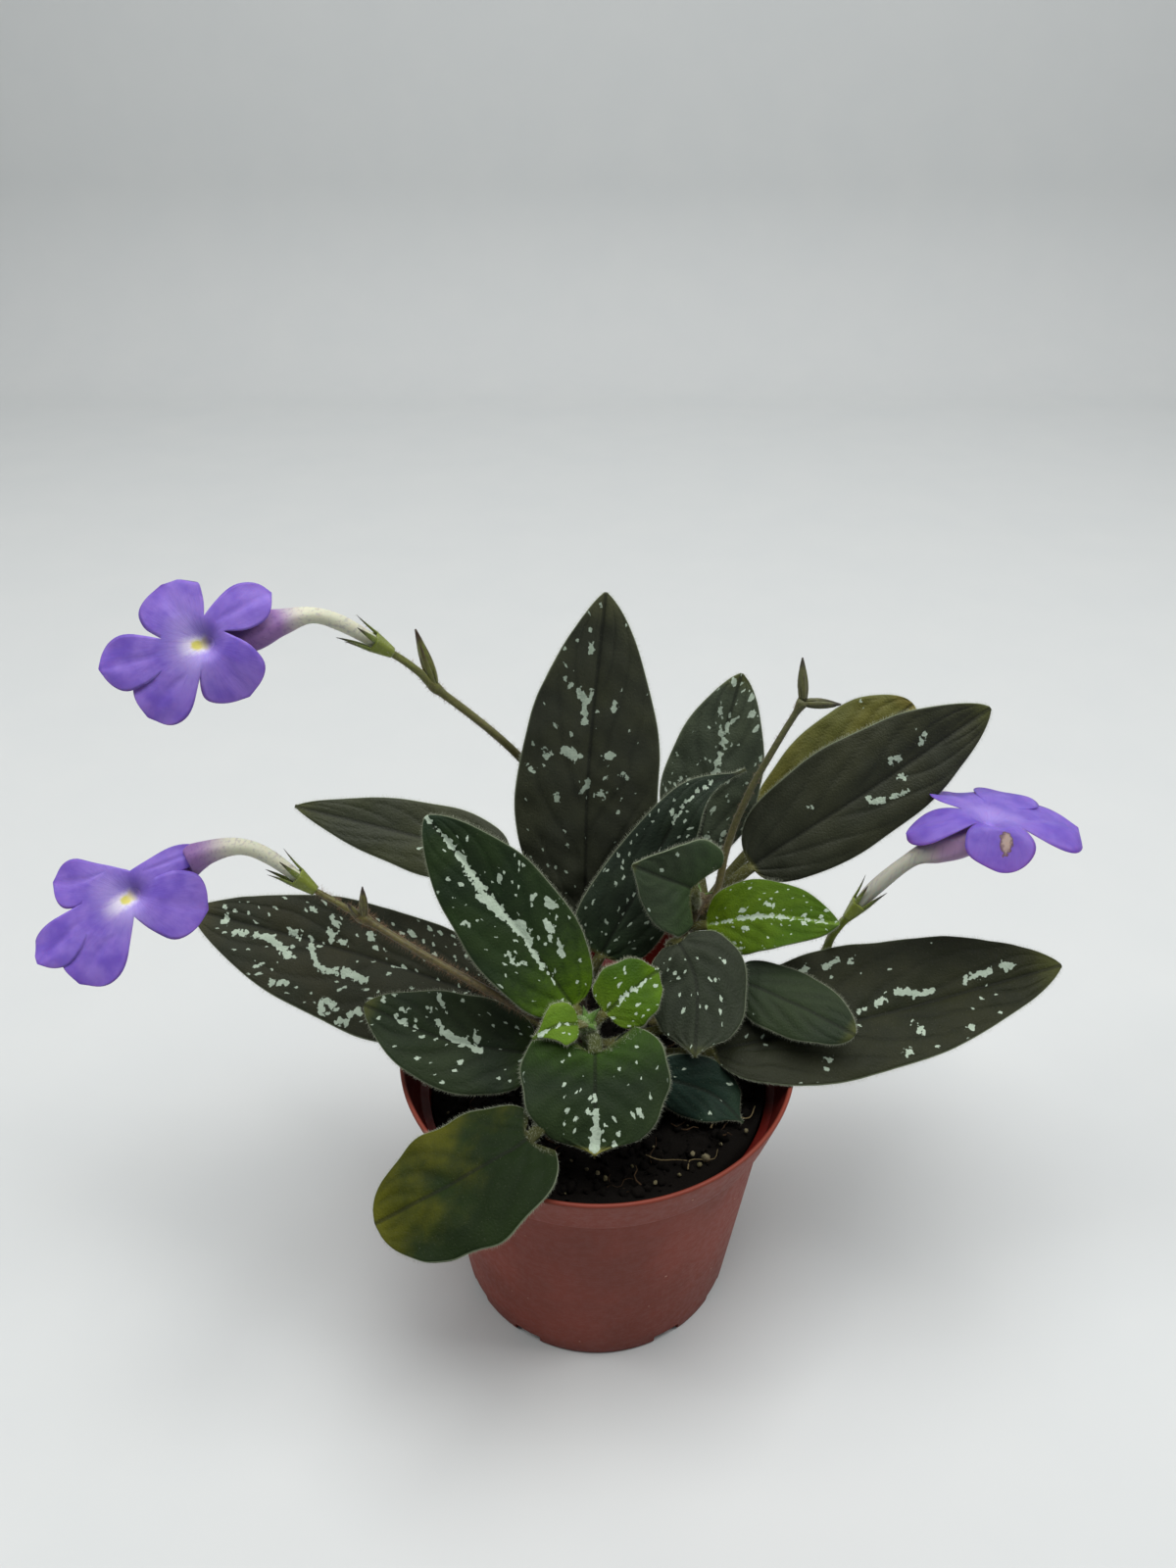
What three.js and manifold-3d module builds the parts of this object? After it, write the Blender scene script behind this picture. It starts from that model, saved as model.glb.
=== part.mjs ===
import * as THREE from 'three';
import { mergeVertices } from 'three/addons/utils/BufferGeometryUtils.js';
import Module from 'manifold-3d';

// A gesneriad house plant in its nursery pot: +Z up, millimetres, origin at the
// centre of the pot's base, with the side shown to a viewer facing -Y.

const wasm = await Module();
wasm.setup();

// Clear space left between two pieces that touch
const GAP = 0.3;

// Nursery pot, 10.5 cm wide
const POT = {
  rimRadius: 52.5,
  height: 80,
  baseRadius: 38.6,
  bandHeight: 13,
  bandFootRadius: 49.2,
  wallTopRadius: 46.9,
  stepHeight: 1,
  wall: 1.2,
  lipDrop: 0.8,
  floor: 4,
  sides: 48,
};

// Drainage channels under the pot, in pairs on both sides of each diagonal
const CHANNEL = {
  angles: [30, 60, 120, 150, 210, 240, 300, 330],
  width: 8,
  height: 3,
  innerRadius: 27,
  outerRadius: 43.6,
  holeRadius: 2.2,
  holeAt: 31,
  holeSides: 8,
};

// Peat that fills the pot, heaped up towards the front right, with crumbs in its top.
// Each wave of the top is a product of two sines: their turns per millimetre along
// x and y, their phases, and the height.
const SOIL = {
  top: 67.5,
  slope: [0.045, -0.055],
  sides: 36,
  rings: [0.97, 0.82, 0.64, 0.44, 0.22],
  broadWave: { along: [0.13, 0], across: [0, 0.11], phase: [0.6, -0.4], height: 0.8 },
  fineWave: { along: [0.47, -0.21], across: [0.5, 0.39], phase: [0, 0], height: 0.5 },
  rimDrop: 0.5,
  crumbs: 14,
  crumbSize: [1.2, 2.4],
  crumbShape: [1, 0.8, 0.6],
  crumbMargin: 5,
  seed: 7,
};

// Stems: path of each one from inside the soil to its growing point
const STEM = { radius: 2.6, tipRadius: 1.7, sides: 8, steps: 7 };
const STEMS = {
  stem_front: [[-4, -3, 46], [-3.6, -4.5, 64], [-3, -8, 82], [-2.6, -12.6, 100]],
  stem_right: [[4, 5, 46], [8, 10, 64], [17, 19, 82], [29.5, 30.5, 107]],
  stem_back: [[-7, 12, 46], [-6, 14, 64], [-4.6, 17.5, 82], [-3.4, 21.3, 99]],
};

// Blades: thickness at the margin, how far the midrib stands out above and below as
// shares of the stalk's radius, and the half width of the tip. The stalk's radius is
// its least value and what each millimetre of the blade's width adds to it. Sections
// of the blade before steadyFrom stand square to the midrib's direction there, so that
// they don't cut each other where the midrib bends.
const BLADE = {
  margin: 0.7,
  ribAbove: 0.5,
  ribBelow: 0.9,
  ribNarrowing: 6,
  tip: 0.5,
  stalk: [0.9, 0.02],
  waveTurn: 9,
  waveShift: 2,
  lobeFade: 2.5,
  lobeRise: 2,
  lobeSpread: 2,
  steadyFrom: 0.12,
  stalkSteps: 3,
  steps: 9,
  columns: 5,
  wideFrom: 26,
  wideColumns: 7,
};

// Each leaf: the stem that bears it, its midrib from the root through the stalk
// and blade to the tip, the point where the blade starts, the blade's width (or the
// width of each side), the way that its upper side faces at the base and at the tip,
// the rise and taper of its outline, the fold of each side up from the midrib in
// degrees, how far it arches down and waves, and the length of its basal lobes.
const LEAVES = {
  leaf_back_tall: {
    stem: 'stem_back',
    path: [[-3.4, 21.2, 97], [-3.3, 23, 104], [-2.5, 29, 146], [1.8, 36, 194]],
    from: 1, width: 38, face: [[0, -1, 0.2], [0.1, -1, 0.1]],
    outline: [0.62, 0.78], fold: [14, 14], arch: 0.12, wave: 0.8,
  },
  leaf_back_right: {
    stem: 'stem_right',
    path: [[29.4, 30.4, 106], [28.4, 34.5, 111], [28, 37, 115], [31.5, 42.5, 138], [38.3, 50, 165]],
    from: 2, width: 27, face: [[-0.1, -1, 0.3], [-0.1, -1, 0.2]],
    outline: [0.6, 0.75], fold: [12, 12], arch: 0.1, wave: 0.5,
  },
  leaf_centre_curled: {
    stem: 'stem_back',
    path: [[-4.4, 17.5, 84], [-2, 14, 91], [0.9, 14, 98.5], [12.2, 20, 119.4], [24, 25.5, 141.5],
      [38.2, 29, 148]],
    from: 2, width: [24, 24], face: [[0, -1, 0.4], [-0.3, -1, 0.8]],
    outline: [0.42, 1.7], fold: [12, 0], arch: 0.1, wave: 0.4,
  },
  leaf_arrow: {
    stem: 'stem_right',
    path: [[27.5, 28.4, 103], [26, 20, 113], [24.5, 15.5, 119.9], [16.6, 12.5, 125.7],
      [8.6, 9.5, 131.9]],
    from: 2, width: 27, face: [[0.2, -0.9, 0.4], [0.2, -0.9, 0.4]],
    outline: [0.3, 1], fold: [16, 16], arch: 0.1, wave: 0.3, lobe: 5,
  },
  leaf_right_bright: {
    stem: 'stem_right',
    path: [[25.8, 26.8, 98.5], [30, 22.5, 102], [44.6, 17, 109.5], [62, 6.5, 115.3]],
    from: 1, width: 20.5, face: [[0.1, -0.6, 0.8], [0, -0.6, 0.8]],
    outline: [0.6, 0.8], fold: [10, 10], arch: 0.1, wave: 0.4,
  },
  leaf_right_oval: {
    stem: 'stem_right',
    path: [[22.6, 23.2, 91], [20, 15, 101], [21, 8, 108], [25.5, 0, 101], [24.5, -15, 89.5]],
    from: 2, width: 27, face: [[0, -0.5, 1], [0, -0.9, 0.6]],
    outline: [0.55, 0.6], fold: [4, 4], arch: 0.2, wave: 0.5, lobe: 1,
  },
  leaf_right_small: {
    stem: 'stem_front',
    path: [[-2.8, -9.5, 86.5], [8, -7, 88.5], [21, -2, 89.5], [35, 6.5, 95.5], [50.5, -2, 96],
      [65, -12, 94.5]],
    from: 3, width: 18, face: [[0.1, -0.6, 0.9], [0.2, -0.7, 0.7]],
    outline: [0.5, 0.6], fold: [6, 6], arch: 0.2, wave: 0.3,
  },
  leaf_right_low: {
    stem: 'stem_front',
    path: [[-3.2, -6.4, 75], [13, -4.5, 79.5], [29.5, -6.5, 83.6], [75.2, 1, 89.3], [122.9, 8.5, 99.7]],
    from: 2, width: [41, 31], face: [[-0.05, -0.42, 0.9], [-0.1, -0.5, 0.85]],
    outline: [0.55, 0.75], fold: [10, 10], arch: 0.08, wave: 0.8,
  },
  leaf_right_high: {
    stem: 'stem_right',
    path: [[23.8, 24.8, 94], [32, 30, 102], [42.3, 31, 115.6], [73.4, 34, 139.6], [101.4, 38, 161.2]],
    from: 2, width: [32, 26], face: [[-0.2, -0.9, 0.5], [-0.2, -0.9, 0.4]],
    outline: [0.45, 0.7], fold: [10, 10], arch: 0.12, wave: 0.6,
  },
  leaf_right_olive: {
    stem: 'stem_right',
    path: [[21.3, 22.6, 89], [32, 36, 100], [46, 46, 113], [68, 50, 138], [86.3, 54, 153.7]],
    from: 2, width: 26, face: [[-0.3, -0.8, 0.5], [-0.3, -0.8, 0.5]],
    outline: [0.5, 0.55], fold: [10, 10], arch: 0.12, wave: 0.4,
  },
  leaf_left_back: {
    stem: 'stem_back',
    path: [[-4, 19, 90], [-12, 19, 112], [-23, 18, 126.5], [-48, 21, 133], [-78, 24, 140]],
    from: 2, width: 19, face: [[0, -0.7, 0.7], [0, -0.7, 0.7]],
    outline: [0.5, 0.85], fold: [10, 10], arch: 0.12, wave: 0.4,
  },
  leaf_left_striped: {
    stem: 'stem_front',
    path: [[-2.7, -12.1, 97.5], [-6, -10, 102], [-22.9, -2, 126], [-41.6, 6, 149]],
    from: 1, width: 27, face: [[0.3, -0.8, 0.6], [0.3, -0.9, 0.3]],
    outline: [0.5, 0.7], fold: [12, 12], arch: 0.1, wave: 0.6,
  },
  leaf_tip_left: {
    stem: 'stem_front',
    path: [[-2.6, -12.6, 99.2], [-5, -16.5, 102.6], [-10, -18.5, 104], [-16, -20.5, 101.5]],
    from: 1, width: 11, face: [[0, -0.6, 0.9], [-0.2, -0.7, 0.7]],
    outline: [0.6, 0.8], fold: [18, 18], arch: 0.1, wave: 0.2,
  },
  leaf_tip_right: {
    stem: 'stem_front',
    path: [[-2.6, -12.4, 98.2], [1.8, -11.5, 101.5], [8, -8.5, 106], [15.5, -3, 108.5]],
    from: 1, width: 17, face: [[0.1, -0.8, 0.7], [0, -0.8, 0.7]],
    outline: [0.4, 0.6], fold: [14, 14], arch: 0.1, wave: 0.3,
  },
  leaf_left_spotted: {
    stem: 'stem_front',
    path: [[-3.2, -6.5, 79], [-12, -3, 86], [-21, 2, 90], [-62.7, 12, 100], [-109, 20, 109.4]],
    from: 2, width: [41, 29], face: [[0.1, -0.6, 0.8], [0.1, -0.6, 0.8]],
    outline: [0.55, 0.75], fold: [10, 10], arch: 0.12, wave: 0.8,
  },
  leaf_left_centre: {
    stem: 'stem_front',
    path: [[-3, -8.5, 84], [-9, -11, 87], [-16, -12, 88], [-38.5, -12, 93], [-59, -8, 101]],
    from: 2, width: 25, face: [[0.1, -0.6, 0.8], [0.2, -0.6, 0.8]],
    outline: [0.45, 0.7], fold: [10, 10], arch: 0.12, wave: 0.6,
  },
  leaf_left_small: {
    stem: 'stem_front',
    path: [[-2.9, -9.8, 87.5], [-6.5, -15, 90], [-11, -18.5, 89], [-16, -21, 84]],
    from: 1, width: 11, face: [[0, -0.7, 0.8], [-0.2, -0.9, 0.5]],
    outline: [0.5, 0.6], fold: [8, 8], arch: 0.2, wave: 0.2,
  },
  leaf_front_heart: {
    stem: 'stem_front',
    path: [[-2.6, -12, 95.5], [-1, -18, 98.8], [-0.8, -22, 98.5], [-0.8, -31, 92], [-0.9, -39.6, 82]],
    from: 2, width: 36, face: [[0, -0.5, 0.9], [0, -0.8, 0.6]],
    outline: [0.28, 0.5], fold: [4, 4], arch: 0.13, wave: 0.5, lobe: 7,
  },
  leaf_front_teal: {
    stem: 'stem_front',
    path: [[-2.9, -8.6, 80.5], [5, -12.5, 83], [13.8, -15.5, 84], [29, -16, 78], [37.3, -20.5, 72]],
    from: 2, width: 16, face: [[0, -0.8, 0.6], [0.8, -0.6, 0.4]],
    outline: [0.5, 0.8], fold: [8, 8], arch: 0.2, wave: 0.2,
  },
  leaf_front_yellowing: {
    stem: 'stem_front',
    path: [[-3.2, -6, 73.5], [-9, -23, 82], [-16.6, -38, 86.5], [-33.6, -46.2, 81], [-52.2, -52, 73.3]],
    from: 2, width: [35, 28.5], face: [[0, -0.15, 1], [-0.3, -0.6, 0.8]],
    outline: [0.35, 0.48], fold: [4, 2], arch: 0.06, wave: 0.6, lobe: 4,
  },
  leaf_front_tiny: {
    stem: 'stem_front',
    path: [[-2.8, -10.4, 90.5], [4, -14.5, 94], [10, -15.5, 93.5], [17, -14.5, 91.5]],
    from: 1, width: 8, face: [[0, -0.6, 0.9], [0.2, -0.7, 0.8]],
    outline: [0.6, 0.7], fold: [16, 16], arch: 0.1, wave: 0.2,
  },
};

// Flower stalks: the bearing stem, the path to the flower, the radius at each end,
// and the buds on it with their base, tip and greatest radius.
const STALKS = {
  stalk_upper_left: {
    stem: 'stem_back',
    path: [[-4.4, 18.5, 86], [-5, 28, 104], [-9, 34, 128], [-20.8, 33, 150], [-39, 22.5, 175],
      [-43, 19.5, 181.5], [-48.4, 16.3, 187.9]],
    radius: [1.5, 1],
    buds: [{ ends: [[-39.2, 22.2, 175.5], [-42.9, 23, 190.3]], radius: 1.7 }],
  },
  stalk_left: {
    stem: 'stem_front',
    path: [[-2.8, -10.8, 91.5], [-9, -12, 97], [-16.3, -13, 102.5], [-38.4, -10, 116],
      [-57, -4, 125.5], [-62, -2, 127.5], [-69.9, 0, 131.7]],
    radius: [1.7, 1],
    buds: [
      { ends: [[-57.2, -4, 125.7], [-56.6, -4, 135.3]], radius: 1.2 },
      { ends: [[-58.2, -4, 126], [-60.5, -5, 131]], radius: 0.9 },
    ],
  },
  stalk_right: {
    stem: 'stem_right',
    path: [[13, 15, 73], [30, 12, 77.5], [48, 14, 82.5], [58.8, 18, 88.5], [62.5, 19.2, 95.5],
      [63.7, 17, 104], [66.2, 14.1, 111.9]],
    radius: [1.5, 1.3],
    buds: [],
  },
  stalk_back: {
    stem: 'stem_right',
    path: [[27, 28, 101.5], [32.5, 29, 106.5], [36, 34, 122], [42, 37, 139], [53.4, 40.5, 162]],
    radius: [1.4, 1],
    buds: [
      { ends: [[53.4, 40.5, 161.5], [52.7, 44, 172.6]], radius: 1.6 },
      { ends: [[53.2, 40.4, 161.4], [63.4, 41, 160.5]], radius: 1.6 },
    ],
  },
};
const STALK = { sides: 6, steps: 14 };

// Flowers: the path of each tube from its calyx to the mouth with the radius at
// each point, the way that the limb faces, and its five petals. Each petal is given
// in the limb's plane from the mouth's centre: the notch before it (angle, distance),
// its tip (angle, distance), its width and how far its end bends back.
const FLOWERS = {
  upper_left: {
    stalk: 'stalk_upper_left',
    tube: [[-49, 16, 188.7], [-57.2, 12, 196.6], [-63.2, 9, 200.1], [-69.4, 6, 199.8],
      [-75.5, 2, 199.4], [-83.5, -3, 199.2]],
    radii: [1.3, 1.8, 1.8, 2.9, 4.3, 3.4],
    face: [-0.1, -0.88, 0.46],
    petals: [
      { notch: [31, 4.8], tip: [38, 17.2], width: 9, bend: 3 },
      { notch: [90, 5.6], tip: [129, 15.8], width: 14, bend: 1.5 },
      { notch: [175, 9.5], tip: [193, 24.6], width: 10.8, bend: 1 },
      { notch: [212, 11], tip: [229, 21], width: 13, bend: 1.5 },
      { notch: [262, 4.8], tip: [306, 14], width: 14.2, bend: 3 },
    ],
  },
  left: {
    stalk: 'stalk_left',
    tube: [[-70.7, 0, 132.8], [-78.9, 0, 141.2], [-85.1, -1, 145], [-92.4, -2, 144.1],
      [-100.5, -2, 139.5], [-109, -10.5, 138]],
    radii: [1.3, 1.8, 2, 2.8, 4.3, 3.4],
    face: [0.1, -0.8, 0.56],
    petals: [
      { notch: [40, 6], tip: [36, 18], width: 6, bend: 3 },
      { notch: [97, 5.6], tip: [171, 18.5], width: 11.4, bend: 1 },
      { notch: [190, 11.4], tip: [217, 26.5], width: 9.4, bend: 1 },
      { notch: [222, 13.4], tip: [240, 24], width: 14, bend: 1.5 },
      { notch: [275, 5.1], tip: [347, 17], width: 15, bend: 3 },
    ],
  },
  right: {
    stalk: 'stalk_right',
    tube: [[66.7, 14, 112.7], [72, 14, 121.5], [79.8, 13.5, 130.7], [86, 13.5, 133.8],
      [92.4, 14.2, 136.4], [98.3, 15.2, 141.8]],
    radii: [1.3, 2, 2, 3.6, 4.6, 3.4],
    face: [0.1, 0.15, 0.98],
    petals: [
      { notch: [38, 12], tip: [60, 25], width: 12, bend: 1 },
      { notch: [79, 11], tip: [104, 20], width: 14.5, bend: 1.5 },
      { notch: [140, 6.5], tip: [174, 19.5], width: 10, bend: 7.5 },
      { notch: [215, 5], tip: [274, 11], width: 16, bend: 9 },
      { notch: [335, 7], tip: [14, 26.5], width: 18, bend: 2.5 },
    ],
  },
};
// Flower: thickness of the petals and of the tube's wall, the throat's radius at its
// deep end, how far neighbouring petals lap, the share of the flare that a petal's root
// is sunk by and how much thinner it is there, how much thinner the flare is than the
// petals, and the form of a petal's outline
const FLOWER = {
  petal: 0.7,
  wall: 0.8,
  throatEnd: 1.2,
  lap: 0.2,
  rootShare: 0.8,
  rootInset: 0.2,
  plateInset: 0.06,
  columns: 4,
  steps: 4,
  broadest: 0.6,
  endNarrowing: 0.3,
  endRounding: 0.22,
  bendPower: 1.7,
};

// Calyx: green cup round the base of the tube, with pointed sepals
const CALYX = {
  seat: 0.5,
  length: 5,
  radius: [1.3, 2.2, 2.7],
  sides: 8,
  sepals: 5,
  sepalLength: 8,
  sepalRadius: 0.75,
  sepalRoot: 1,
  sepalSpread: 0.28,
};

// Buds: radius along their length as shares of the length and the greatest radius
const BUD = {
  sides: 5,
  profile: [[0, 0.45], [0.4, 1], [0.75, 0.7], [1, 0.2]],
  sepals: 2,
  sepalAt: 0.15,
  sepalLength: 0.55,
  sepalRadius: 0.5,
  sepalSpread: 0.35,
};

const COLOURS = {
  terracotta: 0x8a4a38,
  peat: 0x17120f,
  stem: 0x5b4630,
  darkLeaf: 0x333a2f,
  midLeaf: 0x2f4632,
  brightLeaf: 0x4c7d1e,
  oliveLeaf: 0x5c6130,
  stalk: 0x6b6a3a,
  calyx: 0x7c9433,
  petal: 0x7a63c0,
};

// Leaves that aren't as dark as the rest
const LEAF_COLOURS = {
  leaf_right_bright: 'brightLeaf',
  leaf_tip_left: 'brightLeaf',
  leaf_tip_right: 'brightLeaf',
  leaf_left_striped: 'midLeaf',
  leaf_front_heart: 'midLeaf',
  leaf_right_olive: 'oliveLeaf',
  leaf_front_yellowing: 'oliveLeaf',
};

function seededRandom(seed) {
  let state = seed;
  return () => {
    state = (state * 1664525 + 1013904223) % 4294967296;
    return state / 4294967296;
  };
}

function vector(point) {
  return new THREE.Vector3(...point);
}

function between(a, b, t) {
  return a + (b - a) * t;
}

function degrees(angle) {
  return (angle * Math.PI) / 180;
}

function curveThrough(points) {
  return new THREE.CatmullRomCurve3(points.map(vector), false, 'catmullrom', 0.5);
}

// The part of a direction that stands square to an axis, at unit length
function squareTo(axis, direction) {
  return direction.clone().addScaledVector(axis, -direction.dot(axis)).normalize();
}

// Closed solid from a three.js geometry whose shared vertices are merged
function solid(geometry) {
  const bare = geometry.clone();
  bare.deleteAttribute('normal');
  bare.deleteAttribute('uv');
  const merged = mergeVertices(bare, 1e-4);
  const triangles = [];
  const index = merged.index.array;
  for (let i = 0; i < index.length; i += 3) {
    const [a, b, c] = [index[i], index[i + 1], index[i + 2]];
    if (a !== b && b !== c && a !== c) triangles.push(a, b, c);
  }
  return new wasm.Manifold(new wasm.Mesh({
    numProp: 3,
    vertProperties: new Float32Array(merged.attributes.position.array),
    triVerts: new Uint32Array(triangles),
  }));
}

function geometryOf(body) {
  const mesh = body.getMesh();
  const geometry = new THREE.BufferGeometry();
  const positions = new Float32Array(mesh.vertProperties);
  geometry.setAttribute('position', new THREE.BufferAttribute(positions, 3));
  geometry.setIndex(new THREE.BufferAttribute(new Uint32Array(mesh.triVerts), 1));
  geometry.computeVertexNormals();
  return geometry;
}

// Keeps the one body that a cut leaves at a given place, and drops loose scraps
function largest(body) {
  const pieces = body.decompose();
  return pieces.reduce((best, piece) => (piece.volume() > best.volume() ? piece : best));
}

function middle(ring) {
  return ring.reduce((sum, p) => sum.add(p), new THREE.Vector3()).divideScalar(ring.length);
}

// Triangles between rings of points that close on themselves; quads past flipFrom
// are split along their other diagonal, so that both faces of a blade match
function skin(rings, flipFrom = Infinity) {
  const corners = [];
  for (let i = 0; i < rings.length - 1; i++) {
    const count = rings[i].length;
    for (let j = 0; j < count; j++) {
      const next = (j + 1) % count;
      const [a, b, c, d] = [rings[i][j], rings[i][next], rings[i + 1][next], rings[i + 1][j]];
      if (j < flipFrom) corners.push(a, b, c, a, c, d);
      else corners.push(a, b, d, b, c, d);
    }
  }
  return corners;
}

// Flat fan that fills a ring, facing along or against the way that the rings run
function cap(ring, along) {
  const centre = middle(ring);
  return ring.flatMap((p, j) => {
    const next = ring[(j + 1) % ring.length];
    return along ? [centre, p, next] : [centre, next, p];
  });
}

// Closed geometry from triangle corners that are all given the same way round
function closed(corners) {
  let volume = 0;
  for (let i = 0; i < corners.length; i += 3) {
    volume += corners[i].dot(corners[i + 1].clone().cross(corners[i + 2]));
  }
  const outward = volume < 0 ? corners.toReversed() : corners;
  const geometry = new THREE.BufferGeometry();
  const positions = outward.flatMap((p) => p.toArray());
  geometry.setAttribute('position', new THREE.Float32BufferAttribute(positions, 3));
  return geometry;
}

// Closed loft through rings of points, with its ends filled
function loft(rings, flipFrom) {
  return closed([...skin(rings, flipFrom), ...cap(rings[0], false), ...cap(rings.at(-1), true)]);
}

// Ring of points round a place, at the given angles from a side that up is turned from
function ringAt(place, axis, up, radius, angles) {
  const top = squareTo(axis, up);
  const side = top.clone().cross(axis);
  return angles.map((angle) => place.clone()
    .addScaledVector(side, Math.cos(angle) * radius)
    .addScaledVector(top, Math.sin(angle) * radius));
}

function evenAngles(sides) {
  return Array.from({ length: sides }, (_, j) => (j / sides) * 2 * Math.PI);
}

// Round tube along a path, with the radius worked out at each place
const TUBE_UP = new THREE.Vector3(0.3, 1, 0.1);
function tube(path, radiusAt, sides, steps) {
  const curve = curveThrough(path);
  const rings = [];
  for (let i = 0; i <= steps; i++) {
    const t = i / steps;
    rings.push(ringAt(curve.getPoint(t), curve.getTangent(t), TUBE_UP, radiusAt(t), evenAngles(sides)));
  }
  return loft(rings);
}

// Tapering spike with a narrow end, used for sepals
const SPIKE = { up: new THREE.Vector3(0.3, 0.2, 1), sides: 4, end: 0.3 };
function spike(from, towards, length, radius) {
  const tip = from.clone().addScaledVector(towards, length);
  const ring = (place, size) => ringAt(place, towards, SPIKE.up, size, evenAngles(SPIKE.sides));
  return solid(loft([ring(from, radius), ring(tip, radius * SPIKE.end)]));
}

// Pot: turned shell with a rim band, drained through channels under its floor
function potWallRadius(z) {
  const shoulder = POT.height - POT.bandHeight;
  return between(POT.baseRadius, POT.wallTopRadius, z / shoulder);
}

function makePot() {
  const shoulder = POT.height - POT.bandHeight;
  const profile = [
    [0, 0],
    [POT.baseRadius, 0],
    [POT.wallTopRadius, shoulder],
    [POT.bandFootRadius, shoulder + POT.stepHeight],
    [POT.rimRadius, POT.height - POT.lipDrop],
    [POT.rimRadius - POT.wall / 3, POT.height],
    [POT.rimRadius - POT.wall, POT.height],
    [POT.bandFootRadius - POT.wall, shoulder + POT.stepHeight],
    [POT.wallTopRadius - POT.wall, shoulder],
    [potWallRadius(POT.floor) - POT.wall, POT.floor],
    [0, POT.floor],
  ];
  const turned = new THREE.LatheGeometry(profile.map(([r, z]) => new THREE.Vector2(r, z)), POT.sides);
  turned.rotateX(Math.PI / 2);
  let body = solid(turned);
  const length = CHANNEL.outerRadius - CHANNEL.innerRadius;
  for (const angle of CHANNEL.angles) {
    const channel = new THREE.BoxGeometry(length, CHANNEL.width, CHANNEL.height * 2);
    channel.translate(CHANNEL.innerRadius + length / 2, 0, 0);
    channel.rotateZ(degrees(angle));
    const hole = new THREE.CylinderGeometry(
      CHANNEL.holeRadius, CHANNEL.holeRadius, POT.floor * 3, CHANNEL.holeSides);
    hole.rotateX(Math.PI / 2);
    hole.translate(CHANNEL.holeAt, 0, POT.floor);
    hole.rotateZ(degrees(angle));
    body = body.subtract(solid(channel)).subtract(solid(hole));
  }
  return body;
}

// Soil: plug that follows the pot's inner wall, with an uneven crumbly top
function soilWave({ along, across, phase, height }, x, y) {
  const a = Math.sin(along[0] * x + along[1] * y + phase[0]);
  const b = Math.cos(across[0] * x + across[1] * y + phase[1]);
  return height * a * b;
}

function soilHeight(x, y) {
  const plane = SOIL.top + SOIL.slope[0] * x + SOIL.slope[1] * y;
  return plane + soilWave(SOIL.broadWave, x, y) + soilWave(SOIL.fineWave, x, y);
}

function makeCrumb(random, reach) {
  const radius = Math.sqrt(random()) * reach;
  const angle = random() * 2 * Math.PI;
  const [x, y] = [Math.cos(angle) * radius, Math.sin(angle) * radius];
  const crumb = new THREE.IcosahedronGeometry(between(...SOIL.crumbSize, random()), 0);
  crumb.scale(...SOIL.crumbShape);
  crumb.rotateZ(random() * Math.PI);
  crumb.translate(x, y, soilHeight(x, y));
  return solid(crumb);
}

function makeSoil() {
  const inner = (z) => potWallRadius(z) - POT.wall - GAP * 2;
  const circle = (radius, heightAt) => evenAngles(SOIL.sides).map((angle) => {
    const [x, y] = [Math.cos(angle) * radius, Math.sin(angle) * radius];
    return new THREE.Vector3(x, y, heightAt(x, y));
  });
  const floor = POT.floor + GAP;
  const edge = inner(POT.height - POT.bandHeight);
  const rim = circle(edge, (x, y) => soilHeight(x, y) - SOIL.rimDrop);
  for (const p of rim) {
    const reach = inner(p.z) / edge;
    p.x *= reach;
    p.y *= reach;
  }
  const rings = [circle(inner(floor), () => floor), rim];
  for (const share of SOIL.rings) rings.push(circle(edge * share, soilHeight));
  let body = solid(loft(rings));
  const random = seededRandom(SOIL.seed);
  for (let i = 0; i < SOIL.crumbs; i++) body = body.add(makeCrumb(random, edge - SOIL.crumbMargin));
  return body;
}

function stemTube(name, grow) {
  const radius = (t) => between(STEM.radius, STEM.tipRadius, t) + grow;
  return solid(tube(STEMS[name], radius, STEM.sides, STEM.steps));
}

// Outline of a leaf: 0 at both ends and 1 where it is broadest
function outlineAt([rise, taper], s) {
  const peak = rise / (rise + taper);
  return (s ** rise * (1 - s) ** taper) / (peak ** rise * (1 - peak) ** taper);
}

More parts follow.
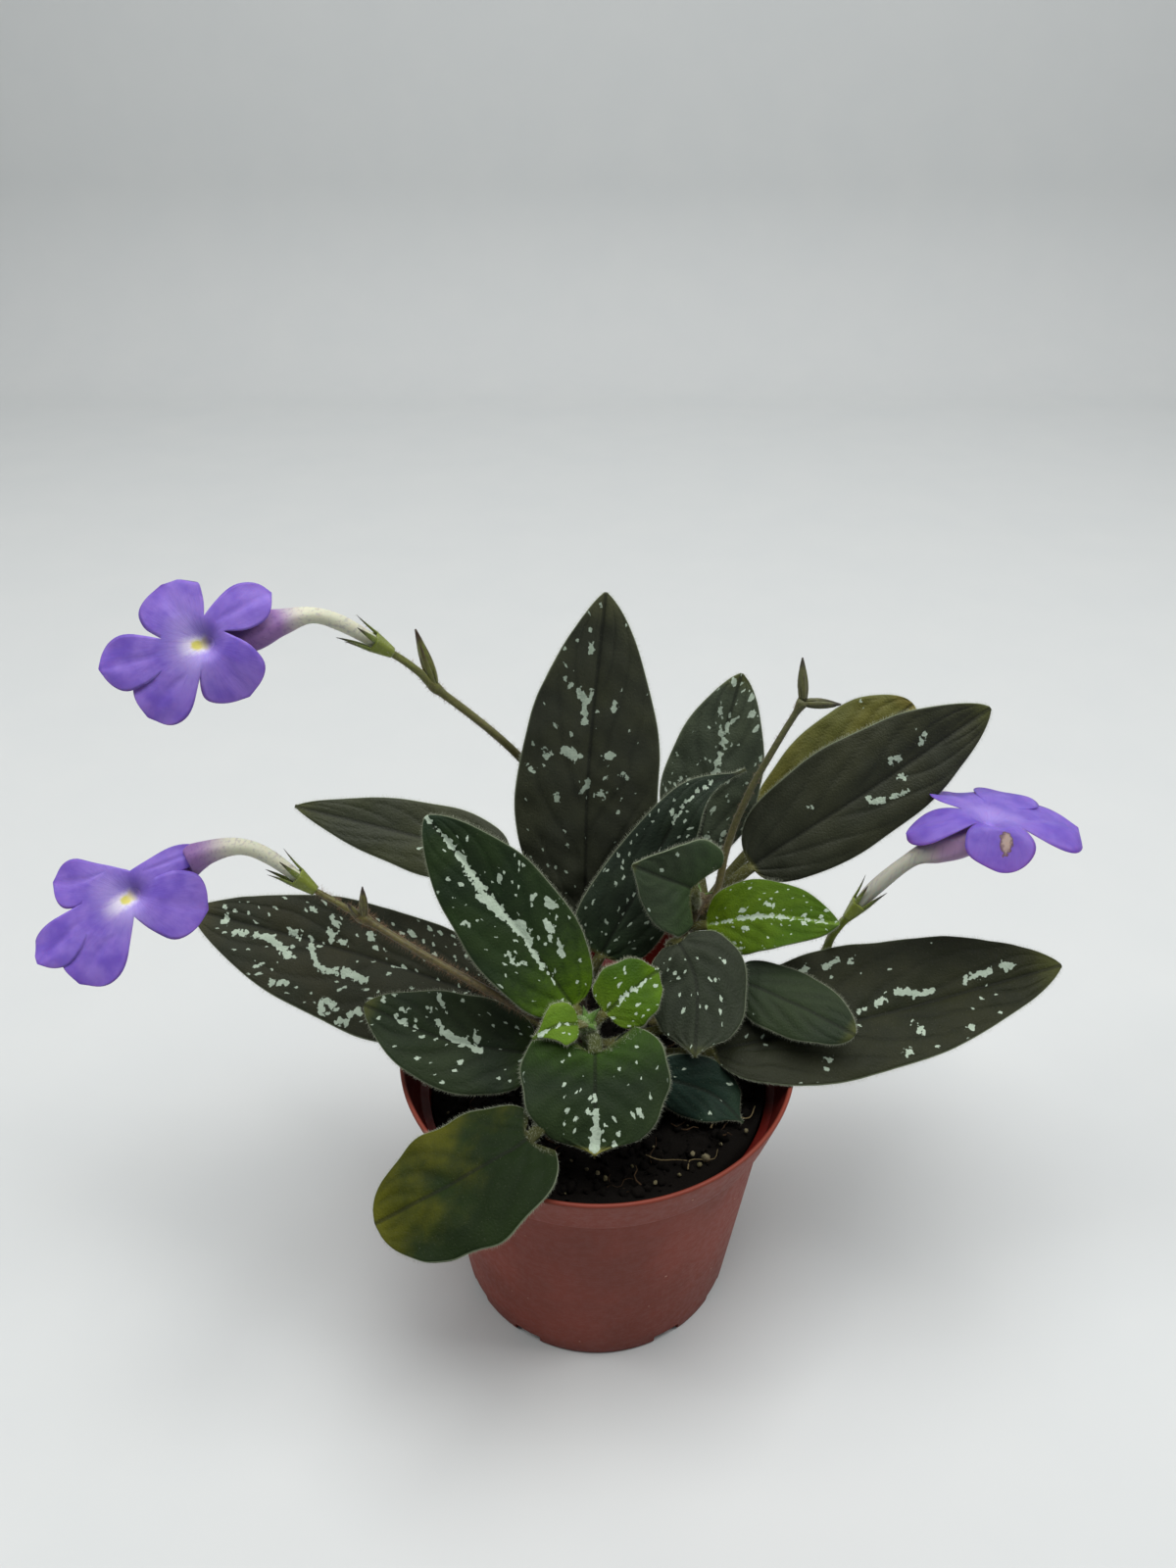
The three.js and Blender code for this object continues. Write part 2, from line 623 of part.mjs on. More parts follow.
// Leaf: one solid loft from the root along the stalk and the midrib to the tip
function makeLeaf(leaf) {
  const curve = curveThrough(leaf.path);
  const start = leaf.from / (leaf.path.length - 1);
  const steadyFrom = between(start, 1, BLADE.steadyFrom);
  const widths = [leaf.width].flat();
  const broadest = Math.max(...widths);
  const columns = broadest > BLADE.wideFrom ? BLADE.wideColumns : BLADE.columns;
  const stalkRadius = BLADE.stalk[0] + BLADE.stalk[1] * broadest;
  const faces = leaf.face.map((f) => vector(f).normalize());
  const section = (t, s) => {
    const place = curve.getPoint(t);
    const tangent = curve.getTangent(t < start ? t : Math.max(t, steadyFrom));
    const normal = squareTo(tangent, faces[0].clone().lerp(faces[1], s));
    const side = tangent.clone().cross(normal);
    const stalk = stalkRadius * (1 - s);
    const at = (column, under) => {
      const u = (column / (columns - 1)) * 2 - 1;
      const away = Math.abs(u);
      const hand = u < 0 ? 0 : 1;
      const blade = ((widths[hand] ?? widths[0]) / 2) * outlineAt(leaf.outline, s);
      const half = Math.max(blade, between(stalk, BLADE.tip, s));
      const fold = degrees(leaf.fold[hand]) * Math.min(1, blade / stalkRadius);
      const phase = s * BLADE.waveTurn + hand * BLADE.waveShift;
      const wave = leaf.wave * Math.sin(phase) * away ** 2 * Math.min(1, blade / 5);
      const lift = away * half * Math.sin(fold) - leaf.arch * blade * away ** 2 + wave;
      const round = Math.sqrt(1 - away ** 2) ** (s > 0 ? BLADE.ribNarrowing : 1);
      const rib = (under ? BLADE.ribBelow : BLADE.ribAbove) * stalk * round;
      const thick = Math.max(BLADE.margin / 2, rib);
      const lobe = (leaf.lobe ?? 0) * (1 - s) ** BLADE.lobeFade * away ** BLADE.lobeSpread;
      return place.clone()
        .addScaledVector(side, u * half * Math.cos(fold))
        .addScaledVector(normal, lift + (under ? -thick : thick))
        .addScaledVector(tangent, -lobe * Math.min(1, blade / stalkRadius / BLADE.lobeRise));
    };
    const upper = Array.from({ length: columns }, (_, j) => at(j, false));
    const lower = Array.from({ length: columns }, (_, j) => at(columns - 1 - j, true));
    return [...upper, ...lower];
  };
  const rings = [];
  for (let i = 0; i < BLADE.stalkSteps; i++) rings.push(section((i / BLADE.stalkSteps) * start, 0));
  for (let i = 0; i <= BLADE.steps; i++) {
    const s = (1 - Math.cos((i / BLADE.steps) * Math.PI)) / 2;
    rings.push(section(between(start, 1, s), s));
  }
  return solid(loft(rings, columns));
}

// Bud: narrow egg with a few sepal points round it
const BUD_UP = new THREE.Vector3(0.4, 0.8, 0.3);
function makeBud(bud) {
  const [from, to] = bud.ends.map(vector);
  const axis = to.clone().sub(from).normalize();
  const ring = (share, size, sides) => (
    ringAt(from.clone().lerp(to, share), axis, BUD_UP, bud.radius * size, evenAngles(sides)));
  let body = solid(loft(BUD.profile.map(([share, size]) => ring(share, size, BUD.sides))));
  const root = from.clone().lerp(to, BUD.sepalAt);
  for (const start of ring(BUD.sepalAt, BUD.sepalRadius, BUD.sepals)) {
    const away = start.clone().sub(root).normalize();
    const towards = axis.clone().addScaledVector(away, BUD.sepalSpread).normalize();
    body = body.add(spike(start, towards, from.distanceTo(to) * BUD.sepalLength, BUD.sepalRadius));
  }
  return body;
}

// Stalk with the buds that stand on it
function makeStalk({ path, radius, buds }) {
  let body = solid(tube(path, (t) => between(radius[0], radius[1], t), STALK.sides, STALK.steps));
  for (const bud of buds) body = body.add(makeBud(bud));
  return body;
}

// Plane of a flower's limb: its origin is the centre of the mouth
function limbOf(flower) {
  const face = vector(flower.face).normalize();
  const right = squareTo(face, new THREE.Vector3(1, 0, 0));
  const up = face.clone().cross(right);
  const centre = vector(flower.tube.at(-1));
  const at = (x, y, z) => centre.clone()
    .addScaledVector(right, x).addScaledVector(up, y).addScaledVector(face, z);
  return { face, up, at };
}

// Angles at which the columns of a limb stand round the mouth, petal by petal
function columnAngles({ petals }) {
  return petals.flatMap((petal, i) => {
    const first = petal.notch[0];
    const span = (petals[(i + 1) % petals.length].notch[0] - first + 360) % 360;
    return Array.from({ length: FLOWER.columns }, (_, j) => degrees(first + (span * j) / FLOWER.columns));
  });
}

// Rings along a flower's tube, the last ones turned into the limb's plane
function tubeRings(flower, grow) {
  const limb = limbOf(flower);
  const angles = columnAngles(flower);
  const curve = curveThrough(flower.tube);
  const last = flower.tube.length - 1;
  return flower.radii.map((radius, i) => {
    const turn = Math.max(0, (i - last + 2) / 2);
    const axis = curve.getTangent(i / last).lerp(limb.face, turn).normalize();
    return ringAt(vector(flower.tube[i]), axis, limb.up, radius + grow, angles);
  });
}

// Edge of the flare that the petals grow from: one point for each column, at a height
// over the limb's plane and a share of its distance from the mouth's centre
function flareEdge(flower, z, share = 1) {
  const limb = limbOf(flower);
  const angles = columnAngles(flower);
  const { petals } = flower;
  return angles.map((angle, j) => {
    const i = Math.floor(j / FLOWER.columns);
    const across = (j % FLOWER.columns) / FLOWER.columns;
    const reach = between(petals[i].notch[1], petals[(i + 1) % petals.length].notch[1], across);
    const distance = reach * share;
    return limb.at(Math.cos(angle) * distance, Math.sin(angle) * distance, z);
  });
}

// Petal: sections from inside the flare to its round end, each one a closed ring of
// points across its lower face and back across its upper face
function petalSections(flower, index) {
  const limb = limbOf(flower);
  const { tip, width, bend } = flower.petals[index];
  const first = index * FLOWER.columns;
  const edge = (z, share) => {
    const ring = flareEdge(flower, z, share);
    return Array.from({ length: FLOWER.columns + 1 }, (_, j) => ring[(first + j) % ring.length]);
  };
  const root = edge(0);
  const from = root[0].clone().lerp(root.at(-1), 0.5);
  const end = limb.at(Math.cos(degrees(tip[0])) * tip[1], Math.sin(degrees(tip[0])) * tip[1], 0);
  const length = from.distanceTo(end);
  const out = end.clone().sub(from).normalize();
  const side = limb.face.clone().cross(out);
  const rootHalf = root[0].distanceTo(root.at(-1)) / 2;
  const halfAt = (s) => {
    const growth = Math.sin((Math.PI / 2) * Math.min(1, s / FLOWER.broadest));
    const past = Math.max(0, (s - FLOWER.broadest) / (1 - FLOWER.broadest));
    return between(rootHalf, width / 2, growth) * (1 - FLOWER.endNarrowing * past ** 2);
  };
  const point = (s, u, face) => {
    const slope = (bend * FLOWER.bendPower * s ** (FLOWER.bendPower - 1)) / length;
    const normal = limb.face.clone().addScaledVector(out, slope).normalize();
    const along = length * (s - FLOWER.endRounding * s ** 2 * u ** 2);
    const across = u * (halfAt(s) + FLOWER.lap);
    const onBlade = from.clone().addScaledVector(out, along).addScaledVector(side, across);
    const column = Math.round(((u + 1) / 2) * FLOWER.columns);
    const atRoot = root[column].clone().sub(from).addScaledVector(side, -u * rootHalf);
    return onBlade.addScaledVector(atRoot, (1 - s) ** 2)
      .addScaledVector(limb.face, -bend * s ** FLOWER.bendPower)
      .addScaledVector(normal, face * FLOWER.petal);
  };
  const inner = (z) => edge(z, FLOWER.rootShare);
  const sunk = [inner(FLOWER.rootInset), inner(FLOWER.petal - FLOWER.rootInset).toReversed()];
  const sections = [sunk.flat()];
  for (let i = 0; i <= FLOWER.steps; i++) {
    const row = (face) => Array.from({ length: FLOWER.columns + 1 }, (_, j) => (
      point(i / FLOWER.steps, (j / FLOWER.columns) * 2 - 1, face)));
    sections.push([...row(0), ...row(1).toReversed()]);
  }
  return sections;
}

// Triangles that fill a thin section between its lower row and its upper row
function strip(section) {
  const half = section.length / 2;
  const corners = [];
  for (let j = 0; j < half - 1; j++) {
    const [a, b] = [section[j], section[j + 1]];
    const [c, d] = [section[2 * half - 2 - j], section[2 * half - 1 - j]];
    corners.push(a, b, c, a, c, d);
  }
  return corners;
}

function makePetal(flower, index) {
  const sections = petalSections(flower, index);
  const blade = skin(sections, FLOWER.columns + 1);
  return solid(closed([...strip(sections[0]).toReversed(), ...blade, ...strip(sections.at(-1))]));
}

// Corolla: tube, flare and petals joined into one body, with an open throat
function makeCorolla(flower) {
  const limb = limbOf(flower);
  const lift = (ring, height) => ring.map((p) => p.clone().addScaledVector(limb.face, height));
  const outer = tubeRings(flower, 0);
  outer.push(lift(outer.pop(), FLOWER.petal / 2));
  const heights = [FLOWER.plateInset, FLOWER.petal - FLOWER.plateInset];
  let body = solid(loft(outer)).add(solid(loft(heights.map((z) => flareEdge(flower, z)))));
  flower.petals.forEach((_, i) => {
    body = body.add(makePetal(flower, i));
  });
  const [belly, mouth] = tubeRings(flower, -FLOWER.wall).slice(-2);
  const deep = tubeRings(flower, 0).at(-3);
  const centre = middle(deep);
  const throat = [
    deep.map((p) => p.sub(centre).setLength(FLOWER.throatEnd).add(centre)),
    belly,
    lift(mouth, FLOWER.petal * 2),
  ];
  return largest(body.subtract(solid(loft(throat))));
}

// Calyx: cup round the base of the tube, with narrow sepals
function makeCalyx(flower) {
  const base = vector(STALKS[flower.stalk].path.at(-1));
  const axis = curveThrough(flower.tube).getTangent(0);
  const { up } = limbOf(flower);
  const foot = base.addScaledVector(axis, CALYX.seat);
  const rim = foot.clone().addScaledVector(axis, CALYX.length);
  const steps = CALYX.radius.length - 1;
  const cup = CALYX.radius.map((radius, i) => (
    ringAt(foot.clone().lerp(rim, i / steps), axis, up, radius, evenAngles(CALYX.sides))));
  let body = solid(loft(cup));
  const root = rim.clone().addScaledVector(axis, -CALYX.sepalRoot);
  const reach = CALYX.radius[steps] - CALYX.sepalRadius / 2;
  for (const start of ringAt(root, axis, up, reach, evenAngles(CALYX.sepals))) {
    const away = start.clone().sub(root).normalize();
    const towards = axis.clone().addScaledVector(away, CALYX.sepalSpread).normalize();
    body = body.add(spike(start, towards, CALYX.sepalLength, CALYX.sepalRadius));
  }
  return body;
}

const plant = new THREE.Group();

function place(name, body, colour, roughness) {
  const material = new THREE.MeshStandardMaterial({ color: COLOURS[colour], roughness, metalness: 0 });
  const mesh = new THREE.Mesh(geometryOf(body), material);
  mesh.name = name;
  plant.add(mesh);
}

place('pot', makePot(), 'terracotta', 0.55);

let soil = makeSoil();
for (const name of Object.keys(STEMS)) soil = soil.subtract(stemTube(name, GAP));
place('soil', largest(soil), 'peat', 0.95);

for (const name of Object.keys(STEMS)) place(name, stemTube(name, 0), 'stem', 0.8);

for (const [name, leaf] of Object.entries(LEAVES)) {
  const body = makeLeaf(leaf).subtract(stemTube(leaf.stem, GAP));
  place(name, largest(body), LEAF_COLOURS[name] ?? 'darkLeaf', 0.7);
}

for (const [name, stalk] of Object.entries(STALKS)) {
  const body = makeStalk(stalk).subtract(stemTube(stalk.stem, GAP));
  place(name, largest(body), 'stalk', 0.7);
}

for (const [name, flower] of Object.entries(FLOWERS)) {
  const space = solid(loft(tubeRings(flower, GAP).slice(0, -2)));
  place(`calyx_${name}`, largest(makeCalyx(flower).subtract(space)), 'calyx', 0.6);
  place(`corolla_${name}`, makeCorolla(flower), 'petal', 0.6);
}

export default plant;
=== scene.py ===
"""A gesneriad house plant in its nursery pot: spotted hairy leaves, three violet
flowers and a few buds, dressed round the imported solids, with a camera and studio."""
import functools
import math

import bpy
import numpy as np
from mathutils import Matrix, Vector


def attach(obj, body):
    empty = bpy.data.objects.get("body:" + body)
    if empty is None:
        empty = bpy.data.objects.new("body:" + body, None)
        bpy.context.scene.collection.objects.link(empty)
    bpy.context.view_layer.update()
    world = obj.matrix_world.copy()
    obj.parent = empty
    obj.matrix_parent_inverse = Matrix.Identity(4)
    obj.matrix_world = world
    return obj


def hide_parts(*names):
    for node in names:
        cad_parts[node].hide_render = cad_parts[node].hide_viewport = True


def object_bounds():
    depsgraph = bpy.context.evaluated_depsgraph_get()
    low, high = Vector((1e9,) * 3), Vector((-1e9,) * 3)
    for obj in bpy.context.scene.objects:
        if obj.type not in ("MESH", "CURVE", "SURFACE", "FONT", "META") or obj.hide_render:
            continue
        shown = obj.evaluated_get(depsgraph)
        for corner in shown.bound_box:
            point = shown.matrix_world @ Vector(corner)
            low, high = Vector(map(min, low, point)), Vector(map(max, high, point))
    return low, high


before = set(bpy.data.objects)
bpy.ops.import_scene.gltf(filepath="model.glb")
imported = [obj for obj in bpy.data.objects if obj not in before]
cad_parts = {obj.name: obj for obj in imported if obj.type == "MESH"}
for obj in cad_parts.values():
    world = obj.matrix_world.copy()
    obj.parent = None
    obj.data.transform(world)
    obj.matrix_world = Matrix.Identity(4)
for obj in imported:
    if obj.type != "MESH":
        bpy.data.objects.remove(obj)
cad_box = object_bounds()

# Sizes and places are millimetres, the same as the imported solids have; MM turns them
# into the metres of the scene
MM = 0.001

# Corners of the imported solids' box, which no point passes
cad_low, cad_high = np.array(cad_box[0]) / MM, np.array(cad_box[1]) / MM

# The way that rings of stems and stalks are turned to
TUBE_UP = np.array([0.3, 1, 0.1])

# Hairs: how many to a square millimetre, shortest and longest, and how far they lean on
# along the piece; those along a blade's margin are a distance apart instead
HAIR_WIDTH = 0.07
HAIR_SPREAD = 0.45
HAIRS = {
    "above": dict(density=0.55, length=(0.25, 0.55), width=0.045, lean=0.8, kind=2),
    "below": dict(density=0.5, length=(0.3, 0.7), width=0.045, lean=0.8, kind=2),
    "petiole": dict(density=3.0, length=(0.6, 1.5), width=0.055),
    "stem": dict(density=1.6, length=(0.8, 1.8)),
    "crown": dict(density=9, length=(1.0, 2.2), lean=1.2),
    "bract": dict(density=2.5, length=(0.3, 0.9), width=0.045),
    "bud": dict(density=2, length=(0.3, 0.6), width=0.045),
    "bud_sepal": dict(density=2, length=(0.25, 0.5), width=0.045),
    "calyx": dict(density=2.2, length=(0.3, 0.8), width=0.045),
    "calyx_sepal": dict(density=2.2, length=(0.3, 0.8)),
    "tube": dict(density=0.5, length=(0.25, 0.6), width=0.03),
}
MARGIN_HAIRS = dict(start=0.2, apart=0.17, stray=0.12, lean=0.35, spread=0.3, length=(0.4, 1.2),
                    width=0.058)

POT = dict(rim_radius=52.5, height=80, base_radius=38.6, band_height=13, band_foot=49.2, wall_top=46.9,
           step=1, wall=1.2, lip_drop=0.8, floor=4, sides=192)
SHOULDER = POT["height"] - POT["band_height"]
CHANNEL = dict(angles=[30, 60, 120, 150, 210, 240, 300, 330], width=8, height=3, inner=27, outer=43.6,
               hole=2.2, hole_at=31, hole_sides=32)
SOIL = dict(crumbs=950, fibres=170, grit=26, top=67.5, slope=[0.045, -0.055], rim_drop=0.5, gap=0.3,
            sides=144, rings=64,
            broad=dict(along=[0.13, 0], across=[0, 0.11], phase=[0.6, -0.4], height=0.8),
            fine=dict(along=[0.47, -0.21], across=[0.5, 0.39], phase=[0, 0], height=0.5))

# Lumps of grit and bits of straw that show in the soil: place, size; ends, radius
LUMPS = [[26.8, -31.6, 1.5], [23.8, -29.2, 1.0], [25.2, -33.2, 1.1], [37.9, -22.7, 0.8], [35.3, -16.2, 0.7],
         [8.5, -32.3, 0.7], [-0.1, -34.6, 0.8], [1.8, -36.4, 0.9], [-2.8, -33, 0.6], [14, -38, 0.7],
         [31, -27, 0.6], [20, -36, 0.6]]
TWIGS = [[[28.8, -23], [41.1, -14.8], 0.32], [[22, -36], [30, -29], 0.2], [[12, -30], [22, -33], 0.22],
         [[36, -12], [30, -22], 0.2]]

STEM = dict(radius=2.6, tip=1.7, sides=24, step=0.9)
STALK = dict(sides=14, step=0.8)
SEPAL = dict(rows=12, sides=8)
STEMS = {
    "stem_front": [[-4, -3, 46], [-3.6, -4.5, 64], [-3, -8, 82], [-2.6, -12.6, 100]],
    "stem_right": [[4, 5, 46], [8, 10, 64], [17, 19, 82], [29.5, 30.5, 107]],
    "stem_back": [[-7, 12, 46], [-6, 14, 64], [-4.6, 17.5, 82], [-3.4, 21.3, 99]],
}

# Youngest leaves at the top of a stem: bearing, spread, length and breadth
TIP_LEAVES = {
    "stem_front": [[3.6, 0.35, 6.5, 1.9], [0.4, 0.3, 5.5, 1.7], [5.2, 0.9, 4.5, 1.2], [1.9, 0.7, 4, 1.2]],
    "stem_right": [[2.6, 0.5, 5, 1.3], [5.6, 0.6, 4, 1.1]],
}

# Form of a blade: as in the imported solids, but with a thin margin and fine steps
BLADE = dict(margin=0.5, rib_above=0.5, rib_below=0.9, tip=0.5, stalk=[0.9, 0.02], wave_turn=9,
             wave_shift=2, lobe_fade=2.5, lobe_rise=2, lobe_spread=2, steady=0.12, step=0.75,
             middle_columns=0.55, groove=0.3, groove_width=0.8, vein_pitch=0.21, vein_slant=0.5,
             vein_curve=1.3, vein_width=0.8, vein_wander=0.22, point_power=1.5, scallops=19, quilt=0.11,
             crimp=0.34)

# Each leaf: its stem, its midrib from the root to the tip, where the blade starts, the
# width (of each side), the way its upper side faces at the base and at the tip, the rise
# and taper of its outline, fold, arch, wave and basal lobes
LEAVES = {
    "leaf_back_tall": dict(
        stem="stem_back", path=[[-3.4, 21.2, 97], [-3.3, 23, 104], [-2.5, 29, 146], [1.8, 36, 194]],
        start=1, width=38, face=[[0, -1, 0.2], [0.1, -1, 0.1]], outline=[0.62, 0.78], fold=[14, 14],
        arch=0.12, wave=0.8),
    "leaf_back_right": dict(
        stem="stem_right",
        path=[[29.4, 30.4, 106], [28.4, 34.5, 111], [28, 37, 115], [31.5, 42.5, 138], [38.3, 50, 165]],
        start=2, width=27, face=[[-0.1, -1, 0.3], [-0.1, -1, 0.2]], outline=[0.6, 0.75], fold=[12, 12],
        arch=0.1, wave=0.5),
    "leaf_centre_curled": dict(
        stem="stem_back",
        path=[[-4.4, 17.5, 84], [-2, 14, 91], [0.9, 14, 98.5], [12.2, 20, 119.4], [24, 25.5, 141.5],
              [38.2, 29, 148]],
        start=2, width=[24, 24], face=[[0, -1, 0.4], [-0.3, -1, 0.8]], outline=[0.42, 1.7],
        fold=[12, 0], arch=0.1, wave=0.4),
    "leaf_arrow": dict(
        stem="stem_right",
        path=[[27.5, 28.4, 103], [26, 20, 113], [24.5, 15.5, 119.9], [16.6, 12.5, 125.7],
              [8.6, 9.5, 131.9]],
        start=2, width=27, face=[[0.2, -0.9, 0.4], [0.2, -0.9, 0.4]], outline=[0.3, 1], fold=[16, 16],
        arch=0.1, wave=0.3, lobe=5),
    "leaf_right_bright": dict(
        stem="stem_right",
        path=[[25.8, 26.8, 98.5], [30, 22.5, 102], [44.6, 17, 109.5], [62, 6.5, 115.3]], start=1,
        width=20.5, face=[[0.1, -0.6, 0.8], [0, -0.6, 0.8]], outline=[0.6, 0.8], fold=[10, 10],
        arch=0.1, wave=0.4),
    "leaf_right_oval": dict(
        stem="stem_right",
        path=[[22.6, 23.2, 91], [20, 15, 101], [21, 8, 108], [25.5, 0, 101], [24.5, -15, 89.5]],
        start=2, width=27, face=[[0, -0.5, 1], [0, -0.9, 0.6]], outline=[0.55, 0.6], fold=[4, 4],
        arch=0.2, wave=0.5, lobe=1),
    "leaf_right_small": dict(
        stem="stem_front",
        path=[[-2.8, -9.5, 86.5], [8, -7, 88.5], [21, -2, 89.5], [35, 6.5, 95.5], [50.5, -2, 96],
              [65, -12, 94.5]],
        start=3, width=18, face=[[0.1, -0.6, 0.9], [0.2, -0.7, 0.7]], outline=[0.5, 0.6], fold=[6, 6],
        arch=0.2, wave=0.3),
    "leaf_right_low": dict(
        stem="stem_front",
        path=[[-3.2, -6.4, 75], [13, -4.5, 79.5], [29.5, -6.5, 83.6], [75.2, 1, 89.3],
              [122.9, 8.5, 99.7]],
        start=2, width=[41, 31], face=[[-0.05, -0.42, 0.9], [-0.1, -0.5, 0.85]], outline=[0.55, 0.75],
        fold=[10, 10], arch=0.08, wave=0.8),
    "leaf_right_high": dict(
        stem="stem_right",
        path=[[23.8, 24.8, 94], [32, 30, 102], [42.3, 31, 115.6], [73.4, 34, 139.6], [101.4, 38, 161.2]],
        start=2, width=[32, 26], face=[[-0.2, -0.9, 0.5], [-0.2, -0.9, 0.4]], outline=[0.45, 0.7],
        fold=[10, 10], arch=0.12, wave=0.6),
    "leaf_right_olive": dict(
        stem="stem_right",
        path=[[21.3, 22.6, 89], [32, 36, 100], [46, 46, 113], [68, 50, 138], [86.3, 54, 153.7]],
        start=2, width=26, face=[[-0.3, -0.8, 0.5], [-0.3, -0.8, 0.5]], outline=[0.5, 0.55],
        fold=[10, 10], arch=0.12, wave=0.4),
    "leaf_left_back": dict(
        stem="stem_back",
        path=[[-4, 19, 90], [-12, 19, 112], [-23, 18, 126.5], [-48, 21, 133], [-78, 24, 140]], start=2,
        width=19, face=[[0, -0.7, 0.7], [0, -0.7, 0.7]], outline=[0.5, 0.85], fold=[10, 10], arch=0.12,
        wave=0.4),
    "leaf_left_striped": dict(
        stem="stem_front",
        path=[[-2.7, -12.1, 97.5], [-6, -10, 102], [-22.9, -2, 126], [-41.6, 6, 149]], start=1,
        width=27, face=[[0.3, -0.8, 0.6], [0.3, -0.9, 0.3]], outline=[0.5, 0.7], fold=[12, 12],
        arch=0.1, wave=0.6),
    "leaf_tip_left": dict(
        stem="stem_front",
        path=[[-2.6, -12.6, 99.2], [-5, -16.5, 102.6], [-10, -18.5, 104], [-16, -20.5, 101.5]], start=1,
        width=11, face=[[0, -0.6, 0.9], [-0.2, -0.7, 0.7]], outline=[0.6, 0.8], fold=[18, 18], arch=0.1,
        wave=0.2),
    "leaf_tip_right": dict(
        stem="stem_front",
        path=[[-2.6, -12.4, 98.2], [1.8, -11.5, 101.5], [8, -8.5, 106], [15.5, -3, 108.5]], start=1,
        width=17, face=[[0.1, -0.8, 0.7], [0, -0.8, 0.7]], outline=[0.4, 0.6], fold=[14, 14], arch=0.1,
        wave=0.3),
    "leaf_left_spotted": dict(
        stem="stem_front",
        path=[[-3.2, -6.5, 79], [-12, -3, 86], [-21, 2, 90], [-62.7, 12, 100], [-109, 20, 109.4]],
        start=2, width=[41, 29], face=[[0.1, -0.6, 0.8], [0.1, -0.6, 0.8]], outline=[0.55, 0.75],
        fold=[10, 10], arch=0.12, wave=0.8),
    "leaf_left_centre": dict(
        stem="stem_front",
        path=[[-3, -8.5, 84], [-9, -11, 87], [-16, -12, 88], [-38.5, -12, 93], [-59, -8, 101]], start=2,
        width=25, face=[[0.1, -0.6, 0.8], [0.2, -0.6, 0.8]], outline=[0.45, 0.7], fold=[10, 10],
        arch=0.12, wave=0.6),
    "leaf_left_small": dict(
        stem="stem_front", path=[[-2.9, -9.8, 87.5], [-6.5, -15, 90], [-11, -18.5, 89], [-16, -21, 84]],
        start=1, width=11, face=[[0, -0.7, 0.8], [-0.2, -0.9, 0.5]], outline=[0.5, 0.6], fold=[8, 8],
        arch=0.2, wave=0.2),
    "leaf_front_heart": dict(
        stem="stem_front",
        path=[[-2.6, -12, 95.5], [-1, -18, 98.8], [-0.8, -22, 98.5], [-0.8, -31, 92], [-0.9, -39.6, 82]],
        start=2, width=36, face=[[0, -0.5, 0.9], [0, -0.8, 0.6]], outline=[0.28, 0.5], fold=[4, 4],
        arch=0.13, wave=0.5, lobe=7),
    "leaf_front_teal": dict(
        stem="stem_front",
        path=[[-2.9, -8.6, 80.5], [5, -12.5, 83], [13.8, -15.5, 84], [29, -16, 78], [37.3, -20.5, 72]],
        start=2, width=16, face=[[0, -0.8, 0.6], [0.8, -0.6, 0.4]], outline=[0.5, 0.8], fold=[8, 8],
        arch=0.2, wave=0.2),
    "leaf_front_yellowing": dict(
        stem="stem_front",
        path=[[-3.2, -6, 73.5], [-9, -23, 82], [-16.6, -38, 86.5], [-33.6, -46.2, 81],
              [-52.2, -52, 73.3]],
        start=2, width=[35, 28.5], face=[[0, -0.15, 1], [-0.3, -0.6, 0.8]], outline=[0.35, 0.48],
        fold=[4, 2], arch=0.06, wave=0.6, lobe=4),
    "leaf_front_tiny": dict(
        stem="stem_front",
        path=[[-2.8, -10.4, 90.5], [4, -14.5, 94], [10, -15.5, 93.5], [17, -14.5, 91.5]], start=1,
        width=8, face=[[0, -0.6, 0.9], [0.2, -0.7, 0.8]], outline=[0.6, 0.7], fold=[16, 16], arch=0.1,
        wave=0.2),
}

# Flower stalks: stem, path, radius at each end, and the buds on them
STALKS = {
    "stalk_upper_left": dict(
        stem="stem_back",
        path=[[-4.4, 18.5, 86], [-5, 28, 104], [-9, 34, 128], [-20.8, 33, 150], [-39, 22.5, 175],
              [-43, 19.5, 181.5], [-48.4, 16.3, 187.9]],
        radius=[1.5, 1], buds=[dict(ends=[[-39.2, 22.2, 175.5], [-42.9, 23, 190.3]], radius=1.7)]),
    "stalk_left": dict(
        stem="stem_front",
        path=[[-2.8, -10.8, 91.5], [-9, -12, 97], [-16.3, -13, 102.5], [-38.4, -10, 116],
              [-57, -4, 125.5], [-62, -2, 127.5], [-69.9, 0, 131.7]],
        radius=[1.7, 1],
        buds=[dict(ends=[[-57.2, -4, 125.7], [-56.6, -4, 135.3]], radius=1.2),
              dict(ends=[[-58.2, -4, 126], [-60.5, -5, 131]], radius=0.9)]),
    "stalk_right": dict(
        stem="stem_right",
        path=[[13, 15, 73], [30, 12, 77.5], [48, 14, 82.5], [58.8, 18, 88.5], [62.5, 19.2, 95.5],
              [63.7, 17, 104], [66.2, 14.1, 111.9]],
        radius=[1.5, 1.3], buds=[]),
    "stalk_back": dict(
        stem="stem_right",
        path=[[27, 28, 101.5], [32.5, 29, 106.5], [36, 34, 122], [42, 37, 139], [53.4, 40.5, 162]],
        radius=[1.4, 1],
        buds=[dict(ends=[[53.4, 40.5, 161.5], [52.7, 44, 172.6]], radius=1.6),
              dict(ends=[[53.2, 40.4, 161.4], [63.4, 41, 160.5]], radius=1.6)]),
}

